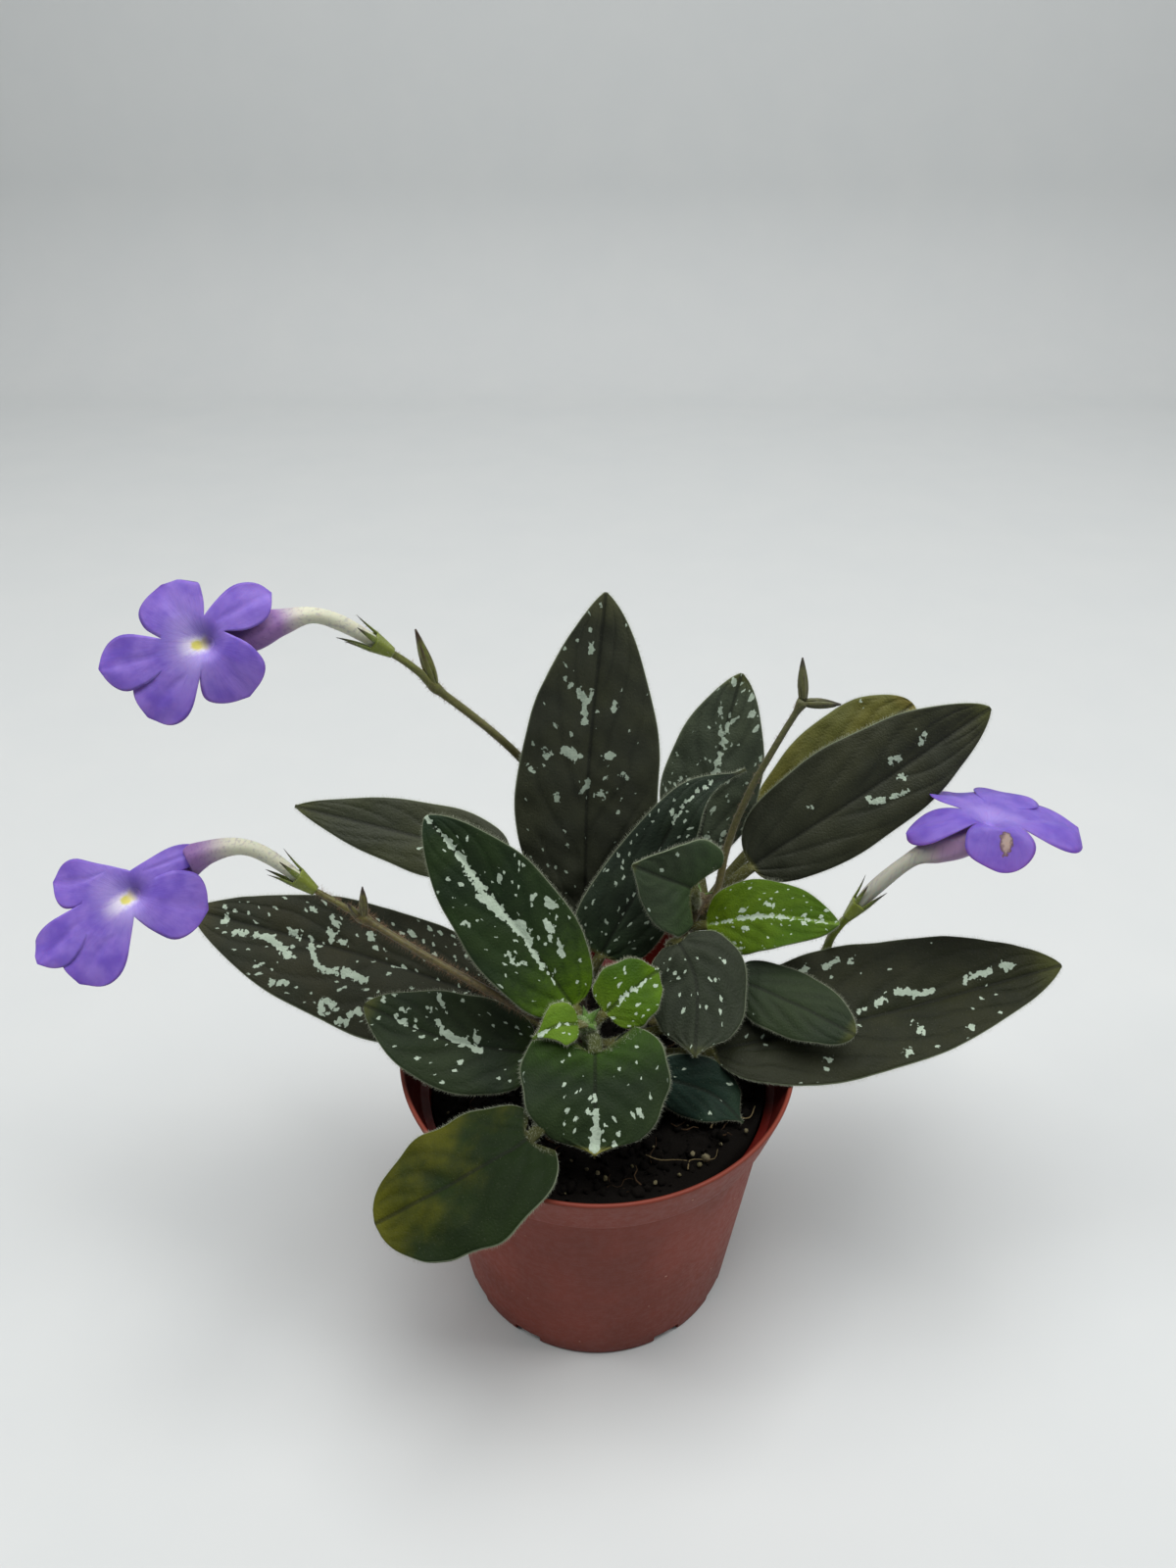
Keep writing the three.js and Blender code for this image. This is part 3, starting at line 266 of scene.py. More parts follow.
# Flowers: the tube from calyx to mouth with its radii, the way the limb faces, the
# middle of its lower lip, and for each petal the notch before it and its tip (angle,
# distance from the mouth), its width and how far its end bends back
FLOWERS = {
    "upper_left": dict(
        lip=193, stalk="stalk_upper_left",
        tube=[[-49, 16, 188.7], [-57.2, 12, 196.6], [-63.2, 9, 200.1], [-69.4, 6, 199.8],
              [-75.5, 2, 199.4], [-83.5, -3, 199.2]],
        radii=[1.3, 1.8, 1.8, 2.9, 4.3, 3.4], face=[-0.1, -0.88, 0.46],
        petals=[dict(notch=[31, 4.8], tip=[38, 17.2], width=9, bend=3),
                dict(notch=[90, 5.6], tip=[129, 15.8], width=14, bend=1.5),
                dict(notch=[175, 9.5], tip=[193, 24.6], width=10.8, bend=1),
                dict(notch=[212, 11], tip=[229, 21], width=13, bend=1.5),
                dict(notch=[262, 4.8], tip=[306, 14], width=14.2, bend=3)]),
    "left": dict(
        lip=217, stalk="stalk_left",
        tube=[[-70.7, 0, 132.8], [-78.9, 0, 141.2], [-85.1, -1, 145], [-92.4, -2, 144.1],
              [-100.5, -2, 139.5], [-109, -10.5, 138]],
        radii=[1.3, 1.8, 2, 2.8, 4.3, 3.4], face=[0.1, -0.8, 0.56],
        petals=[dict(notch=[40, 6], tip=[36, 18], width=6, bend=3),
                dict(notch=[97, 5.6], tip=[171, 18.5], width=11.4, bend=1),
                dict(notch=[190, 11.4], tip=[217, 26.5], width=9.4, bend=1),
                dict(notch=[222, 13.4], tip=[240, 24], width=14, bend=1.5),
                dict(notch=[275, 5.1], tip=[347, 17], width=15, bend=3)]),
    "right": dict(
        lip=60, stalk="stalk_right",
        tube=[[66.7, 14, 112.7], [72, 14, 121.5], [79.8, 13.5, 130.7], [86, 13.5, 133.8],
              [92.4, 14.2, 136.4], [98.3, 15.2, 141.8]],
        radii=[1.3, 2, 2, 3.6, 4.6, 3.4], face=[0.1, 0.15, 0.98],
        petals=[dict(notch=[38, 12], tip=[60, 25], width=12, bend=1, widen=1.4),
                dict(notch=[79, 11], tip=[104, 20], width=14.5, bend=1.5, widen=1.2),
                dict(notch=[140, 6.5], tip=[174, 19.5], width=10, bend=7.5, widen=1.3, droop=2),
                dict(notch=[215, 5], tip=[274, 11], width=16, bend=9),
                dict(notch=[335, 7], tip=[14, 26.5], width=18, bend=2.5, droop=-4)]),
}

FLOWER = dict(petal=0.28, uneven=0.016, columns=16, petal_rows=20, tube_rows=44, flare_rows=8,
              throat_rows=12, widen=1.1, broadest=0.58, end_half=0.12, rounding=0.03, bend_power=1.7,
              flare_dip=[0.9, 1.9], flare_reach=6, mouth_inside=1.3, throat_end=0.35, throat_depth=2.4,
              tube_below=2.8, ruffle=0.45, crease=0.3)
CALYX = dict(seat=-0.9, length=6, radius=[1.25, 1.9, 2.5], wall=0.55, ridge=0.06, sides=30, rows=12,
             sepals=5, sepal_root=1, sepal_length=8, sepal_curl=[0.05, 0.1],
             sepal_radius=0.75, sepal_spread=0.12, sepal_flatness=0.45)
BUD = dict(sides=20, rows=20, profile=[[0, 0.4], [0.35, 0.95], [0.6, 0.8], [0.85, 0.42], [1, 0.12]],
           sepals=5, sepal_length=0.8, sepal_radius=0.4)


# Vectors and curves

def unit(v):
    return v / np.maximum(np.linalg.norm(v, axis=-1, keepdims=True), 1e-12)


def square_to(axis, direction):
    """The part of a direction that stands square to an axis, at unit length"""
    return unit(direction - np.sum(direction * axis, axis=-1, keepdims=True) * axis)


def between(a, b, t):
    return a + (b - a) * t


def smooth(value, low, high):
    t = np.clip((value - low) / (high - low), 0, 1)
    return t * t * (3 - 2 * t)


def spline(points, t):
    """Smooth curve through points, at places t from 0 to 1"""
    p = np.array(points, float)
    if p.ndim == 1:
        return spline(p[:, None], t)[..., 0]
    spread = np.vstack([2 * p[0] - p[1], p, 2 * p[-1] - p[-2]])
    along = np.clip(t, 0, 1) * (len(p) - 1)
    i = np.minimum(along.astype(int), len(p) - 2)
    w = (along - i)[..., None]
    before, a, b, after = spread[i], spread[i + 1], spread[i + 2], spread[i + 3]
    m, n = (b - before) / 2, (after - a) / 2
    cubic, square = w ** 3, w ** 2
    return ((2 * cubic - 3 * square + 1) * a + (cubic - 2 * square + w) * m
            + (3 * square - 2 * cubic) * b + (cubic - square) * n)


def tangents(points, t):
    step = 1e-4
    return unit(spline(points, np.clip(t + step, 0, 1)) - spline(points, np.clip(t - step, 0, 1)))


def path_length(points):
    p = spline(points, np.linspace(0, 1, 200))
    return np.linalg.norm(np.diff(p, axis=0), axis=1).sum()


def ripples(rng, across, along, waves=5, longest=14.0):
    """Gentle random unevenness: a sum of a few slanted sines"""
    total = np.zeros(np.broadcast(across, along).shape)
    for k in range(waves):
        length = longest / (1 + 0.6 * k)
        turn, phase = rng.uniform(0, math.pi), rng.uniform(0, 2 * math.pi)
        reach = across * math.cos(turn) + along * math.sin(turn)
        total += np.sin(2 * math.pi * reach / length + phase) / (1 + k)
    return total / 2


# Meshes

class Piece:
    """Gathers the points, faces and named values of one mesh"""

    def __init__(self):
        self.points, self.faces, self.kinds, self.values = [], [], [], []
        self.count = 0

    def add(self, points, faces, kind=0, **values):
        """Adds points and faces (one array or several) and gives the first point's number"""
        points = np.asarray(points, float).reshape(-1, 3)
        first = self.count
        for part in faces if isinstance(faces, list) else [faces]:
            part = np.asarray(part, int)
            self.faces.append(part + first)
            self.kinds.append(np.full(len(part), kind))
        flat = {key: np.asarray(value, float).reshape(len(points), 3) for key, value in values.items()}
        self.points.append(points)
        self.values.append((len(points), flat))
        self.count += len(points)
        return first

    def join(self, *corners):
        """Adds faces between points that are there, given as one array for each corner"""
        faces = np.stack([corner.ravel() for corner in corners], 1)
        self.faces.append(faces)
        self.kinds.append(np.zeros(len(faces)))

    def make(self, name, materials, node):
        mesh = bpy.data.meshes.new(name)
        faces = [face for part in self.faces for face in part.tolist()]
        points = np.clip(np.vstack(self.points), cad_low, cad_high)
        mesh.from_pydata((points * MM).tolist(), [], faces)
        mesh.polygons.foreach_set("material_index", np.concatenate(self.kinds).astype(np.int32))
        mesh.polygons.foreach_set("use_smooth", np.ones(len(faces), bool))
        for key in sorted({key for _, flat in self.values for key in flat}):
            column = [flat.get(key, np.zeros((size, 3))) for size, flat in self.values]
            layer = mesh.attributes.new(key, "FLOAT_VECTOR", "POINT")
            layer.data.foreach_set("vector", np.vstack(column).astype(np.float32).ravel())
        for material in materials:
            mesh.materials.append(material)
        mesh.update()
        return settle(add_object(name, mesh), node)


def add_object(name, data):
    thing = bpy.data.objects.new(name, data)
    bpy.context.scene.collection.objects.link(thing)
    return thing


def settle(thing, node):
    """Ties a piece to the frame's body and hides the imported node that it stands for"""
    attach(thing, "root")
    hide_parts(node)
    return thing


def quads(rows, columns, wrap=False):
    """Faces of a grid whose points are numbered row by row"""
    across = columns if wrap else columns - 1
    i, j = np.meshgrid(np.arange(rows - 1), np.arange(across), indexing="ij")
    i, j = i.ravel(), j.ravel()
    k = (j + 1) % columns
    return np.stack([i * columns + j, i * columns + k, (i + 1) * columns + k, (i + 1) * columns + j], 1)


def fan(ring, centre, turned=False):
    """Triangles from a ring of point numbers to one point"""
    ring = np.asarray(ring)
    after = np.roll(ring, -1)
    middle = np.full(len(ring), centre)
    return np.stack([after, ring, middle] if turned else [ring, after, middle], 1)


def loft(piece, rings, kind=0, **values):
    """Closed skin over rings of points (rows, sides, 3), with both ends filled"""
    rows, sides = rings.shape[:2]
    centres = np.stack([rings[0].mean(0), rings[-1].mean(0)])
    total = rows * sides
    points = np.vstack([rings.reshape(-1, 3), centres])
    full = {}
    for key, value in values.items():
        value = np.broadcast_to(value, (rows, sides, 3)).reshape(-1, 3)
        full[key] = np.vstack([value, value[:1], value[-1:]])
    ends = [fan(np.arange(sides), total, True), fan(np.arange(total - sides, total), total + 1)]
    return piece.add(points, [quads(rows, sides, True), np.vstack(ends)], kind, **full)


def ring_frames(place, axis, up):
    top = square_to(axis, np.broadcast_to(up, axis.shape))
    return place, np.cross(top, axis), top


def ring_points(frames, radius, angles):
    """Rings (rows, sides, 3) round places, with a radius for each row or each point"""
    place, side, top = frames
    radius = np.broadcast_to(radius, (len(place), len(angles)))[..., None]
    cos, sin = np.cos(angles)[None, :, None], np.sin(angles)[None, :, None]
    return place[:, None] + radius * (cos * side[:, None] + sin * top[:, None])


def even_angles(sides):
    return np.arange(sides) / sides * 2 * math.pi


def triple(a, b=0.0, c=0.0):
    """Three values for each point of a grid, side by side"""
    return np.stack(np.broadcast_arrays(a, b, c), -1)


def tube_rings(path, radius_at, sides, step):
    """Rings along a path about a step apart, with the radius worked out at each place"""
    rows = max(4, int(path_length(path) / step))
    t = np.linspace(0, 1, rows)
    frames = ring_frames(spline(path, t), tangents(path, t), TUBE_UP)
    angles = even_angles(sides)
    return ring_points(frames, radius_at(t[:, None], angles[None, :]), angles), t


# Hairs

def spikes(piece, root, towards, length, width, kind):
    """Fine three-sided hairs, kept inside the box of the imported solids"""
    if not len(root):
        return
    towards = unit(towards)
    side = square_to(towards, np.broadcast_to([0.31, 0.52, 0.79], towards.shape))
    other = np.cross(towards, side)
    half = np.broadcast_to(np.asarray(width) / 2, (len(root),))[:, None]
    length = np.broadcast_to(length, (len(root),))[:, None]
    corners = [root + half * (math.cos(a) * side + math.sin(a) * other) for a in even_angles(3)]
    points = np.stack(corners + [root + towards * length], 1)
    points = np.clip(points, cad_low, cad_high)
    first = np.arange(len(root))[:, None] * 4
    faces = np.concatenate([first + [0, 1, 3], first + [1, 2, 3], first + [2, 0, 3]])
    piece.add(points, faces, kind)


def fuzz(piece, rng, grid, density, length, width=HAIR_WIDTH, lean=0, kind=1, share=1.0, outward=None):
    """Hairs all over a grid of points (rows, columns, 3), a share of the full density.
    They point away from the middle of their row, or the way that outward gives."""
    a, b, c, d = grid[:-1, :-1], grid[:-1, 1:], grid[1:, 1:], grid[1:, :-1]
    normal = np.cross(c - a, d - b).reshape(-1, 3)
    area = np.linalg.norm(normal, axis=1) / 2
    count = int(area.sum() * (density * share))
    if not count:
        return
    pick = rng.choice(len(area), count, p=area / area.sum())
    r, q = rng.random(count)[:, None], rng.random(count)[:, None]
    a, b, c, d = (x.reshape(-1, 3)[pick] for x in (a, b, c, d))
    root = (a * (1 - r) + b * r) * (1 - q) + (d * (1 - r) + c * r) * q
    if outward is None:
        outward = grid - grid.mean(1, keepdims=True)
    outward = np.broadcast_to(outward, grid.shape)[:-1, :-1].reshape(-1, 3)[pick]
    normal = unit(normal)[pick]
    normal *= np.where(np.sum(normal * outward, axis=1) < 0, -1, 1)[:, None]
    towards = normal + unit(d - a) * lean + rng.normal(0, HAIR_SPREAD, (count, 3))
    spikes(piece, root, towards, rng.uniform(*length, count), width, kind)


# Leaves

def outline_at(outline, s, point=1.0):
    """Half width of a blade as a share of its largest; past the place named by point its
    sides draw in to a hollow-sided tip"""
    rise, taper = outline
    peak = rise / (rise + taper)

    def plain(s):
        return s ** rise * (1 - s) ** taper / (peak ** rise * (1 - peak) ** taper)

    if point == 1:
        return plain(s)
    drawn = plain(point) * np.maximum(0, (1 - s) / (1 - point)) ** BLADE["point_power"]
    return np.where(s < point, plain(s), drawn)


def leaf_surface(leaf, look, rng):
    """Upper and lower face of a leaf as grids, with its places in millimetres"""
    path = leaf["path"]
    start = leaf["start"] / (len(path) - 1)
    widths = np.broadcast_to(np.atleast_1d(leaf["width"]), 2).astype(float)
    broadest = widths.max()
    radius = BLADE["stalk"][0] + BLADE["stalk"][1] * broadest
    whole = spline(path, np.linspace(start, 1, 100))
    steps = np.linalg.norm(np.diff(whole, axis=0), axis=1)
    length = steps.sum()
    rows = int(length / BLADE["step"])
    even = np.linspace(0, 1, rows + 1)
    shares = even * 0.6 + (1 - np.cos(even * math.pi)) * 0.2
    stalk_rows = max(3, int(path_length(path) * start / 1.2))
    t = np.concatenate([np.linspace(0, start, stalk_rows, endpoint=False), start + (1 - start) * shares])
    s = np.concatenate([np.zeros(stalk_rows), shares])[:, None]
    count = max(9, int(broadest / BLADE["step"]) // 2 * 2 + 1)
    c = np.linspace(-1, 1, count)
    middle = BLADE["middle_columns"]
    u = (middle * c + (1 - middle) * c * np.abs(c))[None, :]
    away, hand = np.abs(u), (u >= 0).astype(int)

    place = spline(path, t)
    steady = between(start, 1, BLADE["steady"])
    tangent = tangents(path, np.where(t < start, t, np.maximum(t, steady)))
    faces = unit(np.array(leaf["face"], float))
    normal = square_to(tangent, between(faces[0], faces[1], s))
    side = np.cross(tangent, normal)

    blade = widths[hand] / 2 * outline_at(leaf["outline"], s, look.get("point", 1.0))
    scallop = look.get("scallop", 0.018) * np.sin(s * BLADE["scallops"] + 2 * hand)
    blade = blade * (1 + scallop * smooth(s, 0, 0.3))
    stalk = radius * (1 - s)
    half = np.maximum(blade, between(stalk, BLADE["tip"] * 0.7, s))
    grown = np.minimum(1, blade / radius)
    fold = np.radians(np.array(leaf["fold"], float))[hand] * grown
    wave = leaf["wave"] * np.sin(s * BLADE["wave_turn"] + hand * BLADE["wave_shift"])
    wave = wave * away ** 2 * np.minimum(1, blade / 5)
    lift = away * half * np.sin(fold) - leaf["arch"] * blade * away ** 2 + wave
    lobe = leaf.get("lobe", 0) * (1 - s) ** BLADE["lobe_fade"] * away ** BLADE["lobe_spread"]
    lobe = lobe * np.minimum(1, blade / radius / BLADE["lobe_rise"])

    x = u * half
    y = np.concatenate([(t[:stalk_rows] - start) * length / (1 - start), shares * length])[:, None]
    phase = (s - BLADE["vein_slant"] * away ** BLADE["vein_curve"]) / BLADE["vein_pitch"] + 0.5 * hand
    phase = phase + BLADE["vein_wander"] * ripples(rng, x, y, 4, 34)
    off = np.abs(phase - np.round(phase)) * BLADE["vein_pitch"] * length * 0.45
    crease = np.exp(-(off / BLADE["vein_width"]) ** 2)
    open_blade = smooth(blade, radius, radius * 3) * smooth(np.abs(x), 0.3, 3) * (1 - away ** 5)
    open_blade = open_blade * smooth(1 - s, 0, 0.1)
    size = min(1, broadest / 30)
    relief = BLADE["quilt"] * size * ((0.5 - 0.5 * np.cos(2 * math.pi * phase)) - 0.6 * crease)
    relief = relief * open_blade + 0.35 * size * ripples(rng, x, y) * smooth(blade, radius, radius * 4)
    crimp = BLADE["crimp"] * np.sin(y / 2.9 + 2 * hand) * np.sin(y / 7.1) * away ** 6 * grown

    groove = np.exp(-(x / BLADE["groove_width"]) ** 2) * smooth(blade, radius, radius * 3)
    rib = np.sqrt(np.maximum(0, 1 - (x / (stalk + 0.05)) ** 2)) * stalk
    closing = 1 - smooth(blade, radius, radius * 2.5)
    edge = BLADE["margin"] / 2
    above = np.maximum(edge, BLADE["rib_above"] * rib * closing) - BLADE["groove"] * size * groove
    below = np.maximum(edge, BLADE["rib_below"] * rib)
    below = below + 0.12 * crease * open_blade
    middle_face = (place[:, None] + side[:, None] * (x * np.cos(fold))[..., None]
                   + normal[:, None] * (lift + relief + crimp)[..., None]
                   - tangent[:, None] * lobe[..., None])
    upper = middle_face + normal[:, None] * above[..., None]
    lower = middle_face - normal[:, None] * below[..., None]
    ones = np.ones_like(x)
    values = dict(x=x, y=y * ones, s=s * ones, away=away * ones, crease=crease * open_blade)
    return dict(upper=upper, lower=lower, normal=normal, side=side, tangent=tangent,
                values=values, length=length, blade=blade, stalk_rows=stalk_rows, u=u[0], s=s[:, 0])


def silver_field(look, surface):
    """How far inside the leaf's larger silver marks each point lies, in millimetres.
    A mark runs between two places of the blade, each its share of the length and of the
    half width, with a breadth."""
    values = surface["values"]
    x, y = values["x"], values["y"]
    deepest = np.full(x.shape, -4.0)
    widest = np.maximum(surface["blade"], 0.1)
    for s0, u0, s1, u1, breadth in look.get("marks", []):
        ends = []
        for share, across in ((s0, u0), (s1, u1)):
            row = np.argmin(np.abs(surface["s"] - share))
            reach = widest[row, 0 if across < 0 else -1]
            ends.append(np.array([across * reach, share * surface["length"]]))
        run = ends[1] - ends[0]
        w = ((x - ends[0][0]) * run[0] + (y - ends[0][1]) * run[1]) / max(run @ run, 1e-6)
        w = np.clip(w, 0, 1)
        gap = np.hypot(x - ends[0][0] - w * run[0], y - ends[0][1] - w * run[1])
        deepest = np.maximum(deepest, breadth / 2 - gap)
    return deepest


def make_leaf(name, leaf, look):
    rng = np.random.default_rng(look["seed"])
    surface = leaf_surface(leaf, look, rng)
    upper, lower, values = surface["upper"], surface["lower"], surface["values"]
    rows, columns = upper.shape[:2]
    edge = (upper + lower) / 2 + surface["side"][:, None] * np.sign(surface["u"])[None, :, None] * 0.12
    ring = np.concatenate([upper, edge[:, -1:], lower[:, ::-1], edge[:, :1]], 1)

    def round_ring(value):
        return np.concatenate([value, value[:, -1:], value[:, ::-1], value[:, :1]], 1)

    above = np.concatenate([np.ones((rows, columns)), np.full((rows, 1), 0.5),
                            np.zeros((rows, columns)), np.full((rows, 1), 0.5)], 1)
    silver = round_ring(silver_field(look, surface))
    places = triple(*(round_ring(values[key]) for key in ("x", "y", "s")))
    marks = triple(silver, round_ring(values["away"]), above)
    veins = triple(round_ring(values["crease"]))
    piece = Piece()
    loft(piece, ring, blade=places, marks=marks, veins=veins)

    first = surface["stalk_rows"]
    normal = surface["normal"][:, None]
    size = look.get("hair", 1.0)
    fuzz(piece, rng, upper[first:], **HAIRS["above"], share=size, outward=normal[first:])
    fuzz(piece, rng, lower[first:], **HAIRS["below"], share=size, outward=-normal[first:])
    fuzz(piece, rng, ring[:first + 3], **HAIRS["petiole"], share=size)
    for column, hand in ((0, -1), (-1, 1)):
        line = edge[first:, column]
        gaps = np.linalg.norm(np.diff(line, axis=0), axis=1)
        reach = np.concatenate([[0], np.cumsum(gaps)])
        at = np.arange(MARGIN_HAIRS["start"], reach[-1], MARGIN_HAIRS["apart"] / size)
        at = at + rng.uniform(-MARGIN_HAIRS["stray"], MARGIN_HAIRS["stray"], len(at))
        root = np.stack([np.interp(at, reach, line[:, k]) for k in range(3)], 1)
        row = np.clip(np.searchsorted(reach, at), 0, len(line) - 1) + first
        towards = surface["side"][row] * hand + surface["tangent"][row] * MARGIN_HAIRS["lean"]
        towards = towards + rng.normal(0, MARGIN_HAIRS["spread"], towards.shape)
        length = rng.uniform(*MARGIN_HAIRS["length"], len(at))
        spikes(piece, root, towards, length, MARGIN_HAIRS["width"], 1)
    materials = [leaf_material(name, look), hair_material(look.get("hair_tone", "pale")),
                 hair_material("down")]
    return piece.make(name + "_fine", materials, name)


# Stems, stalks and buds

def bumps(path, places, reach):
    """How much a stalk swells near given places, as a share of its radius"""
    def at(t):
        p = spline(path, t.ravel())
        total = np.zeros(len(p))
        for place in places:
            total += np.exp(-(np.linalg.norm(p - np.array(place), axis=1) / reach) ** 2)
        return total.reshape(t.shape)
    return at


def make_stem(name):
    rng = np.random.default_rng(sum(map(ord, name)))
    path = STEMS[name]
    scars = [leaf["path"][0] for leaf in LEAVES.values() if leaf["stem"] == name]
    swell = bumps(path, scars, 2.2)

    def radius(t, angle):
        plain = between(STEM["radius"], STEM["tip"], t)
        return plain * (1 + 0.16 * swell(t)) + 0.12 * np.sin(angle * 5 + t * 9) * np.cos(t * 31)

    rings, t = tube_rings(path, radius, STEM["sides"], STEM["step"])
    piece = Piece()
    loft(piece, rings, stalk=triple(t[:, None]))
    visible = rings[rings[:, 0, 2] > SOIL["top"] - 1]
    fuzz(piece, rng, visible, **HAIRS["stem"])
    fuzz(piece, rng, visible[-6:], **HAIRS["crown"])
    crown, axis = rings[-1].mean(0), unit(rings[-1].mean(0) - rings[-4].mean(0))
    for turn, spread, length, breadth in TIP_LEAVES.get(name, []):
        away = square_to(axis, np.array([math.cos(turn), math.sin(turn), 0.0]))
        bract = sepal(piece, crown - axis * 1.5, unit(axis + away * spread), away, length, breadth, 0.3, 2)
        fuzz(piece, rng, bract, **HAIRS["bract"])
    tone = "young" if name == "stem_front" else "brown"
    light, dark = (104, 140, 52) if name == "stem_front" else (84, 74, 44), (50, 38, 26)
    stem = streaked_material(name, dark, light, dark, 0.35, 0.6, (0.5, 0.95))
    bract = streaked_material(name + "_bract", (112, 148, 44), (86, 128, 34), (60, 90, 28), 0.2, 0.5)
    return piece.make(name + "_fine", [stem, hair_material(tone), bract], name)


def sepal(piece, root, towards, away, length, radius, curl, kind=0):
    """Narrow pointed sepal that bends away from the bud or tube it stands on"""
    rows, sides = SEPAL["rows"], SEPAL["sides"]
    t = np.linspace(0, 1, rows)
    line = root + towards * (t * length)[:, None] + away * (curl * length * t ** 2)[:, None]
    axis = unit(np.gradient(line, axis=0))
    place, side, top = ring_frames(line, axis, away)
    size = radius * np.minimum(1, 0.75 + t * 1.4) * (1 - t ** 1.6) + 0.06
    angles = even_angles(sides)
    cos, sin = np.cos(angles)[None, :, None], np.sin(angles)[None, :, None]
    flat = CALYX["sepal_flatness"]
    rings = place[:, None] + size[:, None, None] * (cos * side[:, None] + flat * sin * top[:, None])
    loft(piece, rings, kind, stalk=triple(0.8, t[:, None]))
    return rings


def add_bud(piece, rng, bud):
    start, end = np.array(bud["ends"], float)
    axis = unit(end - start)
    length = np.linalg.norm(end - start)
    t = np.linspace(0, 1, BUD["rows"])
    share, size = np.array(BUD["profile"]).T
    radius = bud["radius"] * np.interp(t, share, size)
    radius = np.convolve(np.pad(radius, 1, "edge"), [0.25, 0.5, 0.25], "valid")
    angles = even_angles(BUD["sides"])
    line = start + axis * (t * length)[:, None]
    frames = ring_frames(line, np.broadcast_to(axis, line.shape), [0.4, 0.8, 0.3])
    ridges = 1 + 0.1 * np.cos(angles * 5)[None, :]
    rings = ring_points(frames, radius[:, None] * ridges * 0.9, angles)
    loft(piece, rings, 0, stalk=triple(1.0, smooth(t, 0.5, 1)[:, None]))
    fuzz(piece, rng, rings, **HAIRS["bud"])
    side, top = frames[1][0], frames[2][0]
    for angle in even_angles(BUD["sepals"]) + 0.3:
        away = math.cos(angle) * side + math.sin(angle) * top
        root = start + axis * 0.06 * length + away * bud["radius"] * 0.5
        reach = length * BUD["sepal_length"] * rng.uniform(0.75, 1.1)
        rings = sepal(piece, root, unit(axis + away * 0.2), away, reach,
                      BUD["sepal_radius"] * bud["radius"], -0.22)
        fuzz(piece, rng, rings, **HAIRS["bud_sepal"])


def make_stalk(name, stalk, look):
    rng = np.random.default_rng(look["seed"])
    path = stalk["path"]
    swell = bumps(path, [bud["ends"][0] for bud in stalk["buds"]], 2.0)
    low, high = stalk["radius"]

    def radius(t, angle):
        plain = between(low, high, t) * look.get("slim", 0.85)
        return plain * (1 + 0.45 * swell(t) + 0.05 * np.sin(angle * 3 + t * 40))

    rings, t = tube_rings(path, radius, STALK["sides"], STALK["step"])
    piece = Piece()
    loft(piece, rings, stalk=triple(t[:, None]))
    fuzz(piece, rng, rings, look["hair"], look["hair_length"])
    for bud in stalk["buds"]:
        add_bud(piece, rng, bud)
    materials = [stalk_material(name, look), hair_material(look["tone"])]
    return piece.make(name + "_fine", materials, name)


# Flowers

def limb_of(flower):
    """Plane of a flower's limb: its origin is the centre of the mouth"""
    face = unit(np.array(flower["face"], float))
    right = square_to(face, np.array([1.0, 0, 0]))
    return np.array(flower["tube"][-1], float), right, np.cross(face, right), face


def column_angles(flower):
    angles = []
    petals = flower["petals"]
    for i, petal in enumerate(petals):
        first = petal["notch"][0]
        span = (petals[(i + 1) % len(petals)]["notch"][0] - first) % 360
        angles += [first + span * j / FLOWER["columns"] for j in range(FLOWER["columns"])]
    return np.radians(angles)


def notch_reach(flower):
    """Distance of the flare's edge from the mouth's centre, for each column"""
    reach = np.array([petal["notch"][1] for petal in flower["petals"]], float)
    after = np.roll(reach, -1)
    share = np.arange(FLOWER["columns"]) / FLOWER["columns"]
    return between(reach[:, None], after[:, None], share[None, :]).ravel()


def tube_at(flower, along, radius):
    """Rings round a flower's tube at places counted in the tube's points; the last ones
    turn into the limb's plane"""
    _, _, up, face = limb_of(flower)
    last = len(flower["tube"]) - 1
    axis = tangents(flower["tube"], along / last)
    turn = np.clip((along - last + 2) / 2, 0, 1)[:, None]
    axis = unit(between(axis, face, turn))
    frames = ring_frames(spline(flower["tube"], along / last), axis, up)
    return ring_points(frames, radius, column_angles(flower))


